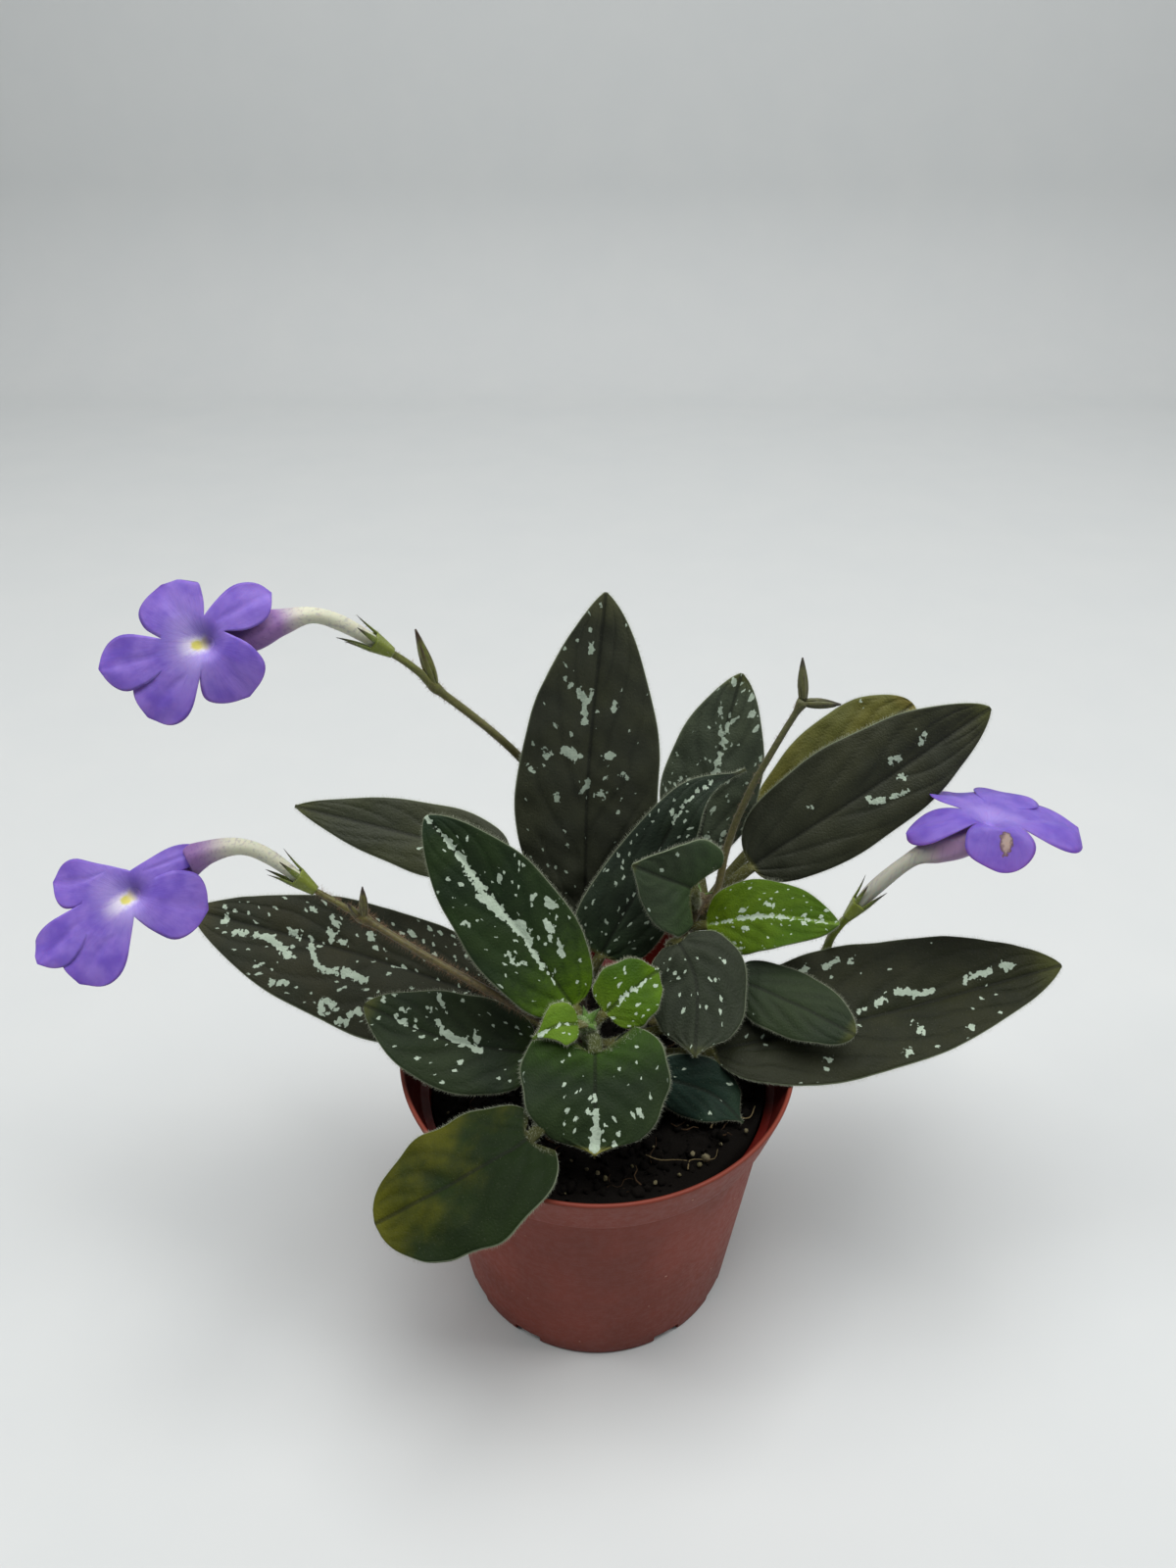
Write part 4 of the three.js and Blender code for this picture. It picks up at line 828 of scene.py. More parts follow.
def petal_grid(flower, index, upper):
    """One face of a petal: rows from the flare's edge to its end, columns across"""
    centre, right, up, face = limb_of(flower)
    petal = flower["petals"][index]
    columns, rows = FLOWER["columns"], FLOWER["petal_rows"]
    angles, reach = column_angles(flower), notch_reach(flower)
    pick = (index * columns + np.arange(columns + 1)) % len(angles)
    flat = right * np.cos(angles[pick])[:, None] + up * np.sin(angles[pick])[:, None]
    root = centre + flat * reach[pick][:, None]
    start = (root[0] + root[-1]) / 2
    tip = math.radians(petal["tip"][0])
    end = centre + (right * math.cos(tip) + up * math.sin(tip)) * petal["tip"][1]
    length = np.linalg.norm(end - start)
    out = unit(end - start)
    side = np.cross(face, out)
    root_half = np.linalg.norm(root[-1] - root[0]) / 2
    u = np.linspace(-1, 1, columns + 1)[None, :]
    s = np.sin(np.linspace(0, math.pi / 2, rows + 1))[:, None]
    growth = np.sin(math.pi / 2 * np.minimum(1, s / FLOWER["broadest"]))
    past = np.maximum(0, (s - FLOWER["broadest"]) / (1 - FLOWER["broadest"]))
    closing = np.sqrt(1 - past ** 2 * (1 - FLOWER["end_half"] ** 2))
    widest = petal["width"] * petal.get("widen", FLOWER["widen"]) / 2
    half = between(root_half, widest, growth) * closing
    uneven = FLOWER["uneven"] * np.sin(s * 11 + index * 2.3 + 2 * np.sign(u)) * np.minimum(1, s * 3)
    half = half * (1 + uneven)
    along = length * (s - FLOWER["rounding"] * s ** 2 * u ** 2)
    bend, power = petal["bend"], FLOWER["bend_power"]
    ruffle = FLOWER["ruffle"] * s ** 2 * np.sin(u * closing * 3.4 + s * 4 + index * 1.9)
    crease = FLOWER["crease"] * np.exp(-(u / 0.16) ** 2) * np.sin(s * math.pi) ** 0.7
    hang = petal.get("droop", 0)
    droop = hang * np.sin(s * 2.4) * np.maximum(0, u * np.sign(hang)) ** 2
    height = ruffle - crease - bend * s ** power - np.abs(droop)
    at_root = (root - start)[None] - side * (u * root_half)[..., None]
    blade = (start + out * along[..., None] + side * (u * half)[..., None]
             + at_root * ((1 - s) ** 2)[..., None] + face * height[..., None])
    slope = bend * power * np.maximum(s, 1e-3) ** (power - 1) / length
    normal = unit(face + out * slope[..., None])
    thick = FLOWER["petal"] * (1 - 0.6 * s ** 3) * (1 - 0.5 * np.abs(u) ** 4 * np.minimum(1, s * 6))
    grid = blade + normal * (thick * (0.5 if upper else -0.5) + FLOWER["petal"] / 2)[..., None]
    rim = np.maximum(np.abs(u) * np.minimum(1, s * 3), s ** 1.5)
    return grid, triple(u, s, rim)


def limb_places(flower, points):
    """Millimetres along and across the lower lip's middle line, and the height over it"""
    centre, right, up, face = limb_of(flower)
    lip = math.radians(flower["lip"])
    along = right * math.cos(lip) + up * math.sin(lip)
    off = points - centre
    return np.stack([off @ along, off @ np.cross(face, along), off @ face], -1)


def make_corolla(name, flower, look):
    rng = np.random.default_rng(look["seed"])
    centre, right, up, face = limb_of(flower)
    columns = len(column_angles(flower))
    last = len(flower["tube"]) - 1
    dip_below, dip_above = FLOWER["flare_dip"]

    along = np.linspace(0, last, FLOWER["tube_rows"])
    radius = spline(flower["radii"], along / last)[:, None]
    ridge = 1 + 0.035 * np.cos(column_angles(flower) * 5)[None, :] * smooth(along, 1, 3)[:, None]
    tube = tube_at(flower, along, radius * ridge)
    tube = tube - face * (dip_below * smooth(along, last - 1, last))[:, None, None]
    off = tube - centre
    height = off @ face
    inward = np.linalg.norm(off - height[..., None] * face, axis=-1)
    mouth = flower["radii"][-1]
    allowed = -between(FLOWER["tube_below"], dip_below, np.clip((inward - 1) / (mouth - 1), 0, 1))
    over_it = np.where(inward < mouth * 1.02, np.maximum(0, height - allowed), 0)
    tube = tube - face * over_it[..., None]

    share = np.linspace(0, 1, FLOWER["flare_rows"] + 1)[1:, None]
    reach = notch_reach(flower)[None, :]
    flat = (right[None, :] * np.cos(column_angles(flower))[:, None]
            + up[None, :] * np.sin(column_angles(flower))[:, None])

    def flare(inner, dip, lift, share):
        distance = between(inner, reach, share)
        level = np.minimum(reach, FLOWER["flare_reach"])
        height = lift - dip * (1 - np.clip((distance - inner) / (level - inner), 0, 1)) ** 2
        return centre + flat[None] * distance[..., None] + face * height[..., None]

    under = flare(flower["radii"][-1], dip_below, 0, share)
    inside_share = np.linspace(1, 0, FLOWER["flare_rows"] + 1)[1:, None]
    over = flare(FLOWER["mouth_inside"], dip_above, FLOWER["petal"], inside_share)
    deep = np.linspace(0, 1, FLOWER["throat_rows"])[1:]
    wall = between(FLOWER["mouth_inside"], FLOWER["throat_end"], deep ** 1.5)
    depth = between(dip_above - FLOWER["petal"], FLOWER["throat_depth"], deep)
    throat = centre + flat[None] * wall[:, None, None] - face * depth[:, None, None]

    piece = Piece()
    tube_share = np.concatenate([along / last, 1 + 0.5 * share[:, 0]])
    outer = np.concatenate([tube, under])
    inner = np.concatenate([over, throat])
    inner_share = np.concatenate([1 + 0.5 * inside_share[:, 0], 1 - deep])

    def zone(rows, shares, inside):
        return np.broadcast_to(triple(shares[:, None], inside), (rows, columns, 3))

    base = outer[0].mean(0)
    end = inner[-1].mean(0)
    ring_count = len(outer) * columns
    points = np.vstack([outer.reshape(-1, 3), base[None]])
    values = zone(len(outer), tube_share, 0).reshape(-1, 3)
    piece.add(points, [quads(len(outer), columns, True), fan(np.arange(columns), ring_count, True)],
              zone=np.vstack([values, values[:1]]), limb=limb_places(flower, points),
              petal=np.zeros((len(points), 3)))
    edge_under = np.arange(ring_count - columns, ring_count)

    edge_over_points = centre + flat * reach[0][:, None] + face * FLOWER["petal"]
    block = np.concatenate([edge_over_points[None], inner])
    values = zone(len(block), np.concatenate([[1.5], inner_share]), 1).reshape(-1, 3)
    inner_count = len(block) * columns
    points = np.vstack([block.reshape(-1, 3), end[None]])
    first = piece.add(points, [quads(len(block), columns, True),
                               fan(np.arange(inner_count - columns, inner_count), inner_count)],
                      zone=np.vstack([values, values[-1:]]), limb=limb_places(flower, points),
                      petal=np.zeros((len(points), 3)))
    edge_over = first + np.arange(columns)

    rows, width = FLOWER["petal_rows"], FLOWER["columns"] + 1
    for index in range(len(flower["petals"])):
        pick = (index * FLOWER["columns"] + np.arange(width)) % columns
        sheets = []
        for upper, edge in ((False, edge_under), (True, edge_over)):
            grid, part = petal_grid(flower, index, upper)
            points, part = grid[1:].reshape(-1, 3), part[1:].reshape(-1, 3)
            spot = triple(1.5 + part[:, 1], float(upper), index)
            first = piece.add(points, np.zeros((0, 4)), zone=spot, petal=part,
                              limb=limb_places(flower, points))
            numbers = np.vstack([edge[pick], first + np.arange(rows * width).reshape(rows, width)])
            a, b, c, d = numbers[:-1, :-1], numbers[:-1, 1:], numbers[1:, 1:], numbers[1:, :-1]
            piece.join(*((a, d, c, b) if upper else (a, b, c, d)))
            sheets.append(numbers)
        low, high = sheets
        for p, q in ((high[:, 0], low[:, 0]), (low[:, -1], high[:, -1]), (high[-1], low[-1])):
            piece.join(p[:-1], q[:-1], q[1:], p[1:])
    fuzz(piece, rng, tube, **HAIRS["tube"])
    materials = [petal_material(name, look), hair_material("tube")]
    return piece.make(name + "_fine", materials, name)


def make_calyx(name, flower, look):
    rng = np.random.default_rng(look["seed"] + 50)
    foot = np.array(STALKS[flower["stalk"]]["path"][-1], float)
    axis = tangents(flower["tube"], np.array([0.0]))[0]
    up = limb_of(flower)[2]
    foot = foot + axis * CALYX["seat"]
    t = np.linspace(0, 1, CALYX["rows"])
    angles = even_angles(CALYX["sides"])
    line = foot + axis * (t * CALYX["length"])[:, None]
    frames = ring_frames(line, np.broadcast_to(axis, line.shape), up)
    radius = spline(CALYX["radius"], t)[:, None] * (1 + CALYX["ridge"] * np.cos(angles * CALYX["sepals"]))
    outer = ring_points(frames, radius, angles)
    inner = ring_points(tuple(f[::-1] for f in frames), radius[::-1] - CALYX["wall"], angles)
    piece = Piece()
    along = np.concatenate([t, t[::-1]])[:, None] * 0.3
    loft(piece, np.concatenate([outer, inner]), stalk=triple(along))
    fuzz(piece, rng, outer, **HAIRS["calyx"])
    side, top = frames[1][0], frames[2][0]
    least_curl, more_curl = CALYX["sepal_curl"]
    rim = foot + axis * (CALYX["length"] - CALYX["sepal_root"])
    for angle in even_angles(CALYX["sepals"]):
        away = math.cos(angle) * side + math.sin(angle) * top
        root = rim + away * (CALYX["radius"][-1] - CALYX["sepal_radius"] / 2)
        curl = least_curl + more_curl * rng.random()
        rings = sepal(piece, root, unit(axis + away * CALYX["sepal_spread"]), away,
                      CALYX["sepal_length"] * rng.uniform(0.9, 1), CALYX["sepal_radius"], curl)
        fuzz(piece, rng, rings, **HAIRS["calyx_sepal"])
    materials = [stalk_material(name, look["calyx"]), hair_material("pale")]
    return piece.make(name + "_fine", materials, name)


# Pot and soil

def pot_profile():
    """Half section of the pot, with round lips and a soft step under the band"""
    shoulder, top, rim, wall = SHOULDER, POT["height"], POT["rim_radius"], POT["wall"]
    base, band, wall_top = POT["base_radius"], POT["band_foot"], POT["wall_top"]
    slant = (rim - band) / (POT["band_height"] - POT["lip_drop"] - POT["step"])
    outside = [[0, 0], [base - 0.8, 0], [base - 0.2, 0.25], [base + 0.1, 0.9]]
    outside += [[between(base, wall_top, z / shoulder), z] for z in np.linspace(3, shoulder - 0.4, 12)]
    outside += [[wall_top + 0.4, shoulder - 0.05], [band - 0.5, shoulder + 0.45],
                [band - 0.05, shoulder + 0.85]]
    foot = shoulder + POT["step"]
    outside += [[band + slant * (z - foot), z] for z in np.linspace(foot + 0.4, top - 1.6, 5)]
    lip = [rim - wall / 2, top - wall / 2]
    turn = np.radians(np.linspace(-20, 200, 9))
    outside += [[lip[0] + math.cos(a) * wall / 2, lip[1] + math.sin(a) * wall / 2] for a in turn]
    inside = [[band - wall - 0.1, foot], [wall_top - wall, shoulder],
              [between(base, wall_top, POT["floor"] / shoulder) - wall, POT["floor"] + 0.6],
              [base - wall - 1, POT["floor"]], [0, POT["floor"]]]
    return np.array(outside + inside, float)


def lathe(profile, sides):
    """Turned solid from a half section that starts and ends on the axis"""
    angles = even_angles(sides)
    body = profile[1:-1]
    rings = triple(body[:, :1] * np.cos(angles), body[:, :1] * np.sin(angles), body[:, 1:])
    total = len(body) * sides
    points = np.vstack([rings.reshape(-1, 3), [[0, 0, profile[0, 1]], [0, 0, profile[-1, 1]]]])
    return points, [quads(len(body), sides, True), fan(np.arange(sides), total, True),
                    fan(np.arange(total - sides, total), total + 1)]


def cutter(name, points, faces):
    mesh = bpy.data.meshes.new(name)
    mesh.from_pydata((np.asarray(points) * MM).tolist(), [], faces)
    return add_object(name, mesh)


def cut(thing, tool):
    """Cuts one mesh out of another and removes the tool"""
    modifier = thing.modifiers.new("cut", "BOOLEAN")
    modifier.operation = "DIFFERENCE"
    modifier.solver = "EXACT"
    modifier.object = tool
    ready = thing.evaluated_get(bpy.context.evaluated_depsgraph_get())
    mesh = bpy.data.meshes.new_from_object(ready)
    old = thing.data
    thing.modifiers.clear()
    thing.data = mesh
    bpy.data.meshes.remove(old)
    bpy.data.objects.remove(tool)


def prism(outline, low, high):
    """Upright solid over an outline (sides, 2)"""
    sides = len(outline)
    points = np.vstack([np.column_stack([outline, np.full(sides, z)]) for z in (low, high)])
    faces = [list(range(sides))[::-1], list(range(sides, 2 * sides))]
    faces += [[k, (k + 1) % sides, sides + (k + 1) % sides, sides + k] for k in range(sides)]
    return points, faces


def make_pot():
    points, faces = lathe(pot_profile(), POT["sides"])
    flat = [face for part in faces for face in part.tolist()]
    pot = cutter("pot_turned", points, flat)
    for kind in ("channel", "hole"):
        points, faces = [], []
        for angle in np.radians(CHANNEL["angles"]):
            if kind == "channel":
                length, half = CHANNEL["outer"] - CHANNEL["inner"], CHANNEL["width"] / 2
                outline = np.array([[0, -half], [length, -half], [length, half], [0, half]])
                outline[:, 0] += CHANNEL["inner"]
                low, high = -1, CHANNEL["height"]
            else:
                turn = even_angles(CHANNEL["hole_sides"])
                outline = np.column_stack([np.cos(turn), np.sin(turn)]) * CHANNEL["hole"]
                outline[:, 0] += CHANNEL["hole_at"]
                low, high = -2, POT["floor"] * 2
            spun = outline @ np.array([[math.cos(angle), math.sin(angle)],
                                       [-math.sin(angle), math.cos(angle)]])
            more, sides = prism(spun, low, high)
            faces += [[k + len(points) for k in face] for face in sides]
            points += more.tolist()
        cut(pot, cutter(kind, points, faces))
    for polygon in pot.data.polygons:
        polygon.use_smooth = True
    pot.data.set_sharp_from_angle(angle=math.radians(38))
    pot.data.materials.append(pot_material())
    pot.name = pot.data.name = "pot_fine"
    return settle(pot, "pot")


def soil_wave(wave, x, y):
    a = np.sin(wave["along"][0] * x + wave["along"][1] * y + wave["phase"][0])
    b = np.cos(wave["across"][0] * x + wave["across"][1] * y + wave["phase"][1])
    return wave["height"] * a * b


def soil_height(x, y):
    plane = SOIL["top"] + SOIL["slope"][0] * x + SOIL["slope"][1] * y
    return plane + soil_wave(SOIL["broad"], x, y) + soil_wave(SOIL["fine"], x, y)


def pot_inner(z):
    return between(POT["base_radius"], POT["wall_top"], z / SHOULDER) - POT["wall"] - 2 * SOIL["gap"]


def crumb(piece, rng, at, size, kind, shape, rows=5, sides=7):
    """Rough lump: a ball of few faces, pushed in and out at random"""
    polar = np.linspace(0, math.pi, rows + 2)[1:-1]
    angles = even_angles(sides) + rng.uniform(0, 6)
    flat = np.sin(polar)
    ring = triple(np.outer(flat, np.cos(angles)), np.outer(flat, np.sin(angles)), np.cos(polar)[:, None])
    ring = ring * size * rng.uniform(0.75, 1.15, (rows, sides, 1)) * np.array(shape)
    turn, tilt = rng.uniform(0, math.pi, 2)
    spin = np.array([[math.cos(turn), -math.sin(turn), 0], [math.sin(turn), math.cos(turn), 0], [0, 0, 1]])
    lean = np.array([[1, 0, 0], [0, math.cos(tilt), -math.sin(tilt)], [0, math.sin(tilt), math.cos(tilt)]])
    tone = rng.random()
    loft(piece, ring @ lean.T @ spin.T + at, kind, stalk=np.array([tone, 0, 0]))


def fibre(piece, rng, start, end, radius, kind, sag=0.0):
    """Bit of root or bark that lies on the soil from one place to another"""
    start, end = np.array(start, float), np.array(end, float)
    run = end - start
    side = np.array([-run[1], run[0]]) * rng.uniform(-0.25, 0.25)
    path = [start, between(start, end, 0.35) + side, between(start, end, 0.7) - side * 0.6, end]
    path = [[p[0], p[1], soil_height(p[0], p[1]) + radius + rng.uniform(0, 1.6) + sag] for p in path]
    rings, _ = tube_rings(path, lambda t, _: radius * (1 - 0.6 * t), 5, 1.2)
    loft(piece, rings, kind, stalk=np.array([rng.random(), 0, 0]))


def make_soil():
    rng = np.random.default_rng(7)
    angles = even_angles(SOIL["sides"])
    edge = pot_inner(SHOULDER)
    shares = np.linspace(1, 0.01, SOIL["rings"])
    x, y = np.outer(shares * edge, np.cos(angles)), np.outer(shares * edge, np.sin(angles))
    z = soil_height(x, y) - SOIL["rim_drop"] * smooth(shares, 0.93, 1)[:, None]
    z = z + 0.55 * ripples(rng, x, y, 7, 7) + rng.normal(0, 0.16, z.shape) - 0.5
    reach = pot_inner(z[0]) / edge
    x[0], y[0] = x[0] * reach, y[0] * reach
    low = POT["floor"] + SOIL["gap"]
    bottom = triple(pot_inner(low) * np.cos(angles), pot_inner(low) * np.sin(angles), low)
    rings = np.concatenate([bottom[None], triple(x, y, z)])
    piece = Piece()
    loft(piece, rings, 0, stalk=np.array([0.5, 0, 0]))

    def anywhere(share=1.0):
        radius, angle = math.sqrt(rng.random()) * (edge - 2.5) * share, rng.uniform(0, 2 * math.pi)
        return radius * math.cos(angle), radius * math.sin(angle)

    for _ in range(SOIL["crumbs"]):
        px, py = anywhere()
        size = 0.45 + 1.7 * rng.random() ** 2.6
        at = [px, py, soil_height(px, py) + size * rng.uniform(-0.3, 0.35) - 0.2]
        crumb(piece, rng, at, size, 0, rng.uniform(0.55, 1.1, 3))
    for _ in range(SOIL["fibres"]):
        px, py = anywhere()
        turn, length = rng.uniform(0, 2 * math.pi), rng.uniform(2, 9)
        end = [px + math.cos(turn) * length, py + math.sin(turn) * length]
        if math.hypot(*end) < edge - 1.5:
            fibre(piece, rng, [px, py], end, rng.uniform(0.09, 0.28), 1 if rng.random() < 0.5 else 0)
    for px, py, size in LUMPS:
        at = [px, py, soil_height(px, py) + size * 0.4]
        crumb(piece, rng, at, size, 2, rng.uniform(0.6, 1, 3), 7, 10)
    for start, end, radius in TWIGS:
        fibre(piece, rng, start, end, radius, 3, 0.6)
    for _ in range(SOIL["grit"]):
        px, py = anywhere()
        size = rng.uniform(0.3, 0.65)
        crumb(piece, rng, [px, py, soil_height(px, py) + size * 0.5], size, 2, rng.uniform(0.6, 1, 3))
    tones = [peat_material(name, *pair) for name, pair in PEAT.items()]
    return piece.make("soil_fine", tones, "soil")


# Materials

def colour(red, green, blue):
    """Linear colour from the red, green and blue of a screen, 0 to 255"""
    shares = np.array([red, green, blue]) / 255
    linear = np.where(shares <= 0.04045, shares / 12.92, ((shares + 0.055) / 1.055) ** 2.4)
    return (*linear.tolist(), 1.0)


def as_colour(value):
    """Turns a screen colour into a linear one, and leaves a node's output as it is"""
    return colour(*value) if isinstance(value, tuple) else value


class Value:
    """A node's output, which sums, products and steps can be written with"""

    def __init__(self, shader, socket):
        self.shader, self.socket = shader, socket

    def __add__(self, other):
        return self.shader.math("ADD", self, other)

    def __sub__(self, other):
        return self.shader.math("SUBTRACT", self, other)

    def __rsub__(self, other):
        return self.shader.math("SUBTRACT", other, self)

    def __mul__(self, other):
        return self.shader.math("MULTIPLY", self, other)

    def __truediv__(self, other):
        return self.shader.math("DIVIDE", self, other)

    def __abs__(self):
        return self.shader.math("ABSOLUTE", self)

    def over(self, limit):
        """1 where the value is above the limit, and 0 elsewhere"""
        return self.shader.math("GREATER_THAN", self, limit)

    def larger(self, other):
        return self.shader.math("MAXIMUM", self, other)

    def step(self, low, high, start=0.0, end=1.0, kind="SMOOTHSTEP"):
        """Goes from start to end while the value goes from low to high"""
        sizes = {"Value": self, "From Min": low, "From Max": high, "To Min": start, "To Max": end}
        return self.shader.node("MapRange", sizes, interpolation_type=kind)


class Shader:
    """One node material: each method adds a node and gives its output"""

    def __init__(self, name):
        self.material = bpy.data.materials.new(name)
        self.material.use_nodes = True
        self.tree = self.material.node_tree
        self.surface = self.tree.nodes["Principled BSDF"]

    def feed(self, socket, value):
        if isinstance(value, Value):
            self.tree.links.new(value.socket, socket)
        else:
            socket.default_value = value

    def node(self, kind, inputs, output=0, **settings):
        node = self.tree.nodes.new("ShaderNode" + kind)
        for key, value in settings.items():
            setattr(node, key, value)
        for key, value in inputs.items():
            self.feed(node.inputs[key], value)
        return Value(self, node.outputs[output])

    def math(self, operation, *values):
        return self.node("Math", dict(enumerate(values)), operation=operation)

    def length(self, a, b):
        return self.math("SQRT", a * a + b * b)

    def mix(self, share, a, b):
        return self.node("Mix", {0: share, 6: as_colour(a), 7: as_colour(b)}, 2, data_type="RGBA")

    def split(self, vector):
        outputs = self.node("SeparateXYZ", {0: vector}).socket.node.outputs
        return [Value(self, output) for output in outputs]

    def parts(self, name):
        """The vector that the mesh holds under a name, and its three values"""
        vector = self.node("Attribute", {}, "Vector", attribute_name=name)
        return vector, *self.split(vector)

    def join(self, x, y, z):
        return self.node("CombineXYZ", {0: x, 1: y, 2: z})

    def place(self):
        """Place on the part in millimetres"""
        spot = self.node("TexCoord", {}, "Object")
        return self.node("VectorMath", {0: spot, 1: (1 / MM,) * 3}, operation="MULTIPLY")

    def noise(self, vector, scale, detail=3.0, rough=0.5, output=0):
        inputs = {"Vector": vector, "Scale": scale, "Detail": detail, "Roughness": rough}
        return self.node("TexNoise", inputs, output)

    def cells(self, vector, scale, kind="3D"):
        """Distance to the nearest of many scattered points, and a random value of each"""
        gap = self.node("TexVoronoi", {"Vector": vector, "Scale": scale}, voronoi_dimensions=kind)
        random = Value(self, gap.socket.node.outputs["Color"])
        return gap, self.node("SeparateColor", {0: random})

    def bump(self, height, distance, strength):
        return self.node("Bump", {"Strength": strength, "Distance": distance, "Height": height})

    def finish(self, base, rough, normal=None, **settings):
        """Sets the surface: colour, roughness, bump, and the sockets named by settings"""
        inputs = self.surface.inputs
        self.feed(inputs["Base Color"], base)
        self.feed(inputs["Roughness"], rough)
        if normal is not None:
            self.feed(inputs["Normal"], normal)
        for key, value in settings.items():
            inputs[key.replace("_", " ")].default_value = value
        return self.material


def leaf_material(name, look):
    """Hairy blade with silver flecks, broken silver marks, painted shade in the sunken veins
    and a pale margin that is partly painted glow
    """
    shader = Shader(name + "_skin")
    mix = shader.mix
    _, x, y, s = shader.parts("blade")
    _, silver, away, above = shader.parts("marks")
    crease = shader.parts("veins")[1]
    seed = float(look["seed"])
    spot = shader.join(x, y, seed)
    broad = shader.noise(spot, 0.07)
    fine = shader.noise(spot, 0.55, 5.0, 0.6)
    grain = shader.noise(spot, 2.6, 2.0)

    body = mix(broad.step(0.35, 0.65), look["base"], look["second"])
    heart = (fine * 0.16 + s).step(*look.get("heart_to", (0.6, 0.1)))
    body = mix(heart, body, look.get("heart", look["base"]))
    body = mix((fine * 0.06 + s).step(0.93, 1.03, 0.0, 0.8), body, look["tip"])
    if "patch" in look:
        spread = shader.noise(shader.join(x, y, seed + 5.0), 0.11, 4.0, 0.55) * 1.2
        spread = spread + s * 0.7 + x * look["patch_side"]
        body = mix(spread.step(0.75, 1.55, 0.0, 0.9), body, look["patch"])
    body = mix(fine * 0.35, body, (20, 24, 18))
    # Darker along the sunken veins: painted shade in their grooves
    body = mix(crease * 0.28, body, look["painted_vein_shade"])
    body = mix(abs(x).step(0.75, 0.2) * 0.55, body, look.get("midrib", (24, 26, 20)))

    # Flecks lie on slanted places that differ on the two halves of the blade
    jag = shader.noise(shader.join(x, y, seed + 9.0), 0.75, 1.8) * 3.5 - 1.92
    marks = (silver + jag).step(-0.1, 0.12)
    crowd = (shader.noise(shader.join(x, y, seed + 3.0), 0.12, 2.0) - 0.5) * 0.9
    hand = shader.math("SIGN", x)
    lie = shader.join((abs(x) * -0.5 + y) * 0.85 + seed * 61, hand * 40.0 + abs(x), 0.0)
    ragged = shader.noise(lie, 0.7, 3.0, 0.65, "Color")
    ragged = shader.node("VectorMath", {0: ragged, 1: (2.2, 2.2, 0.0), 2: lie}, operation="MULTIPLY_ADD")
    flecks = 0.0
    for pitch, share, size in look["flecks"]:
        gap, random = shader.cells(ragged, 1 / pitch, "2D")
        picked = crowd + random - (1 - share)
        reach = picked.step(0.0, share, size * 0.4 / pitch, size / pitch, "LINEAR") * picked.over(0.0)
        flecks = (reach - gap).step(0.0, 0.1 / pitch).larger(flecks)
    both = (flecks * away.step(0.98, 0.93)).larger(marks) * above.step(0.4, 0.6) * s.step(0.0, 0.03)
    upper = mix(both * 0.95, body, mix(fine, (194, 208, 190), (150, 168, 146)))

    under = mix(fine.step(0.3, 0.7), look.get("under", (84, 90, 66)), (70, 66, 52))
    under = mix(crease * 0.5, under, (110, 112, 84))
    whole = mix(above.step(0.3, 0.7), under, upper)
    # Pale line along the margin: partly the fringe of pale hairs, partly their painted glow where they
    # catch the light
    margin = (1.0 - abs(away - 1.0)).step(0.985, 1.0)
    whole = mix(margin * 0.6, whole, (128, 138, 112))
    whole = mix(s.step(0.03, 0.0), whole, look.get("petiole", (92, 92, 50)))
    pores = shader.cells(spot, 1.7)[0]
    height = pores * 0.35 + grain * 0.5 + crease * -0.6
    return shader.finish(whole, grain.step(0.2, 0.8, 0.5, 0.66), shader.bump(height, 0.0003, 0.8),
                         Sheen_Weight=0.03, Sheen_Roughness=0.4, Sheen_Tint=colour(190, 200, 180),
                         Specular_IOR_Level=look.get("gloss", 0.22))


HAIR_TONES = {
    "tube": (186, 178, 180),
    "down": (104, 110, 86),
    "pale": (194, 200, 178),
    "young": (214, 220, 190),
    "brown": (168, 146, 116),
    "rust": (150, 118, 88),
}


@functools.cache
def hair_material(tone):
    shader = Shader("hair_" + tone)
    red, green, blue = HAIR_TONES[tone]
    shade = shader.noise(shader.place(), 1.5, 2.0)
    base = shader.mix(shade, (red, green, blue), (int(red * 0.7), int(green * 0.7), int(blue * 0.66)))
    return shader.finish(base, 0.55, Specular_IOR_Level=0.4)


def streaked_material(name, first, second, dark, mottle, rough, turn=(0.0, 1.0)):
    """Skin of a stem, stalk or calyx: mottled, streaked along its length, dark at tips"""
    shader = Shader(name + "_skin")
    _, along, tip, _ = shader.parts("stalk")
    spot = shader.place()
    fine = shader.noise(spot, 0.9, 4.0, 0.6)
    base = shader.mix(along.step(*turn), first, second)
    base = shader.mix(fine.step(0.4, 0.62) * mottle, base, dark)
    base = shader.mix(tip.step(0.35, 0.9), base, dark)
    return shader.finish(base, rough, shader.bump(shader.noise(spot, 2.4), 0.00025, 0.6),
                         Sheen_Weight=0.2, Sheen_Roughness=0.5, Specular_IOR_Level=0.4)


def stalk_material(name, look):
    return streaked_material(name, look["root"], look["end"], look["dark"], look.get("mottle", 0.3), 0.5)


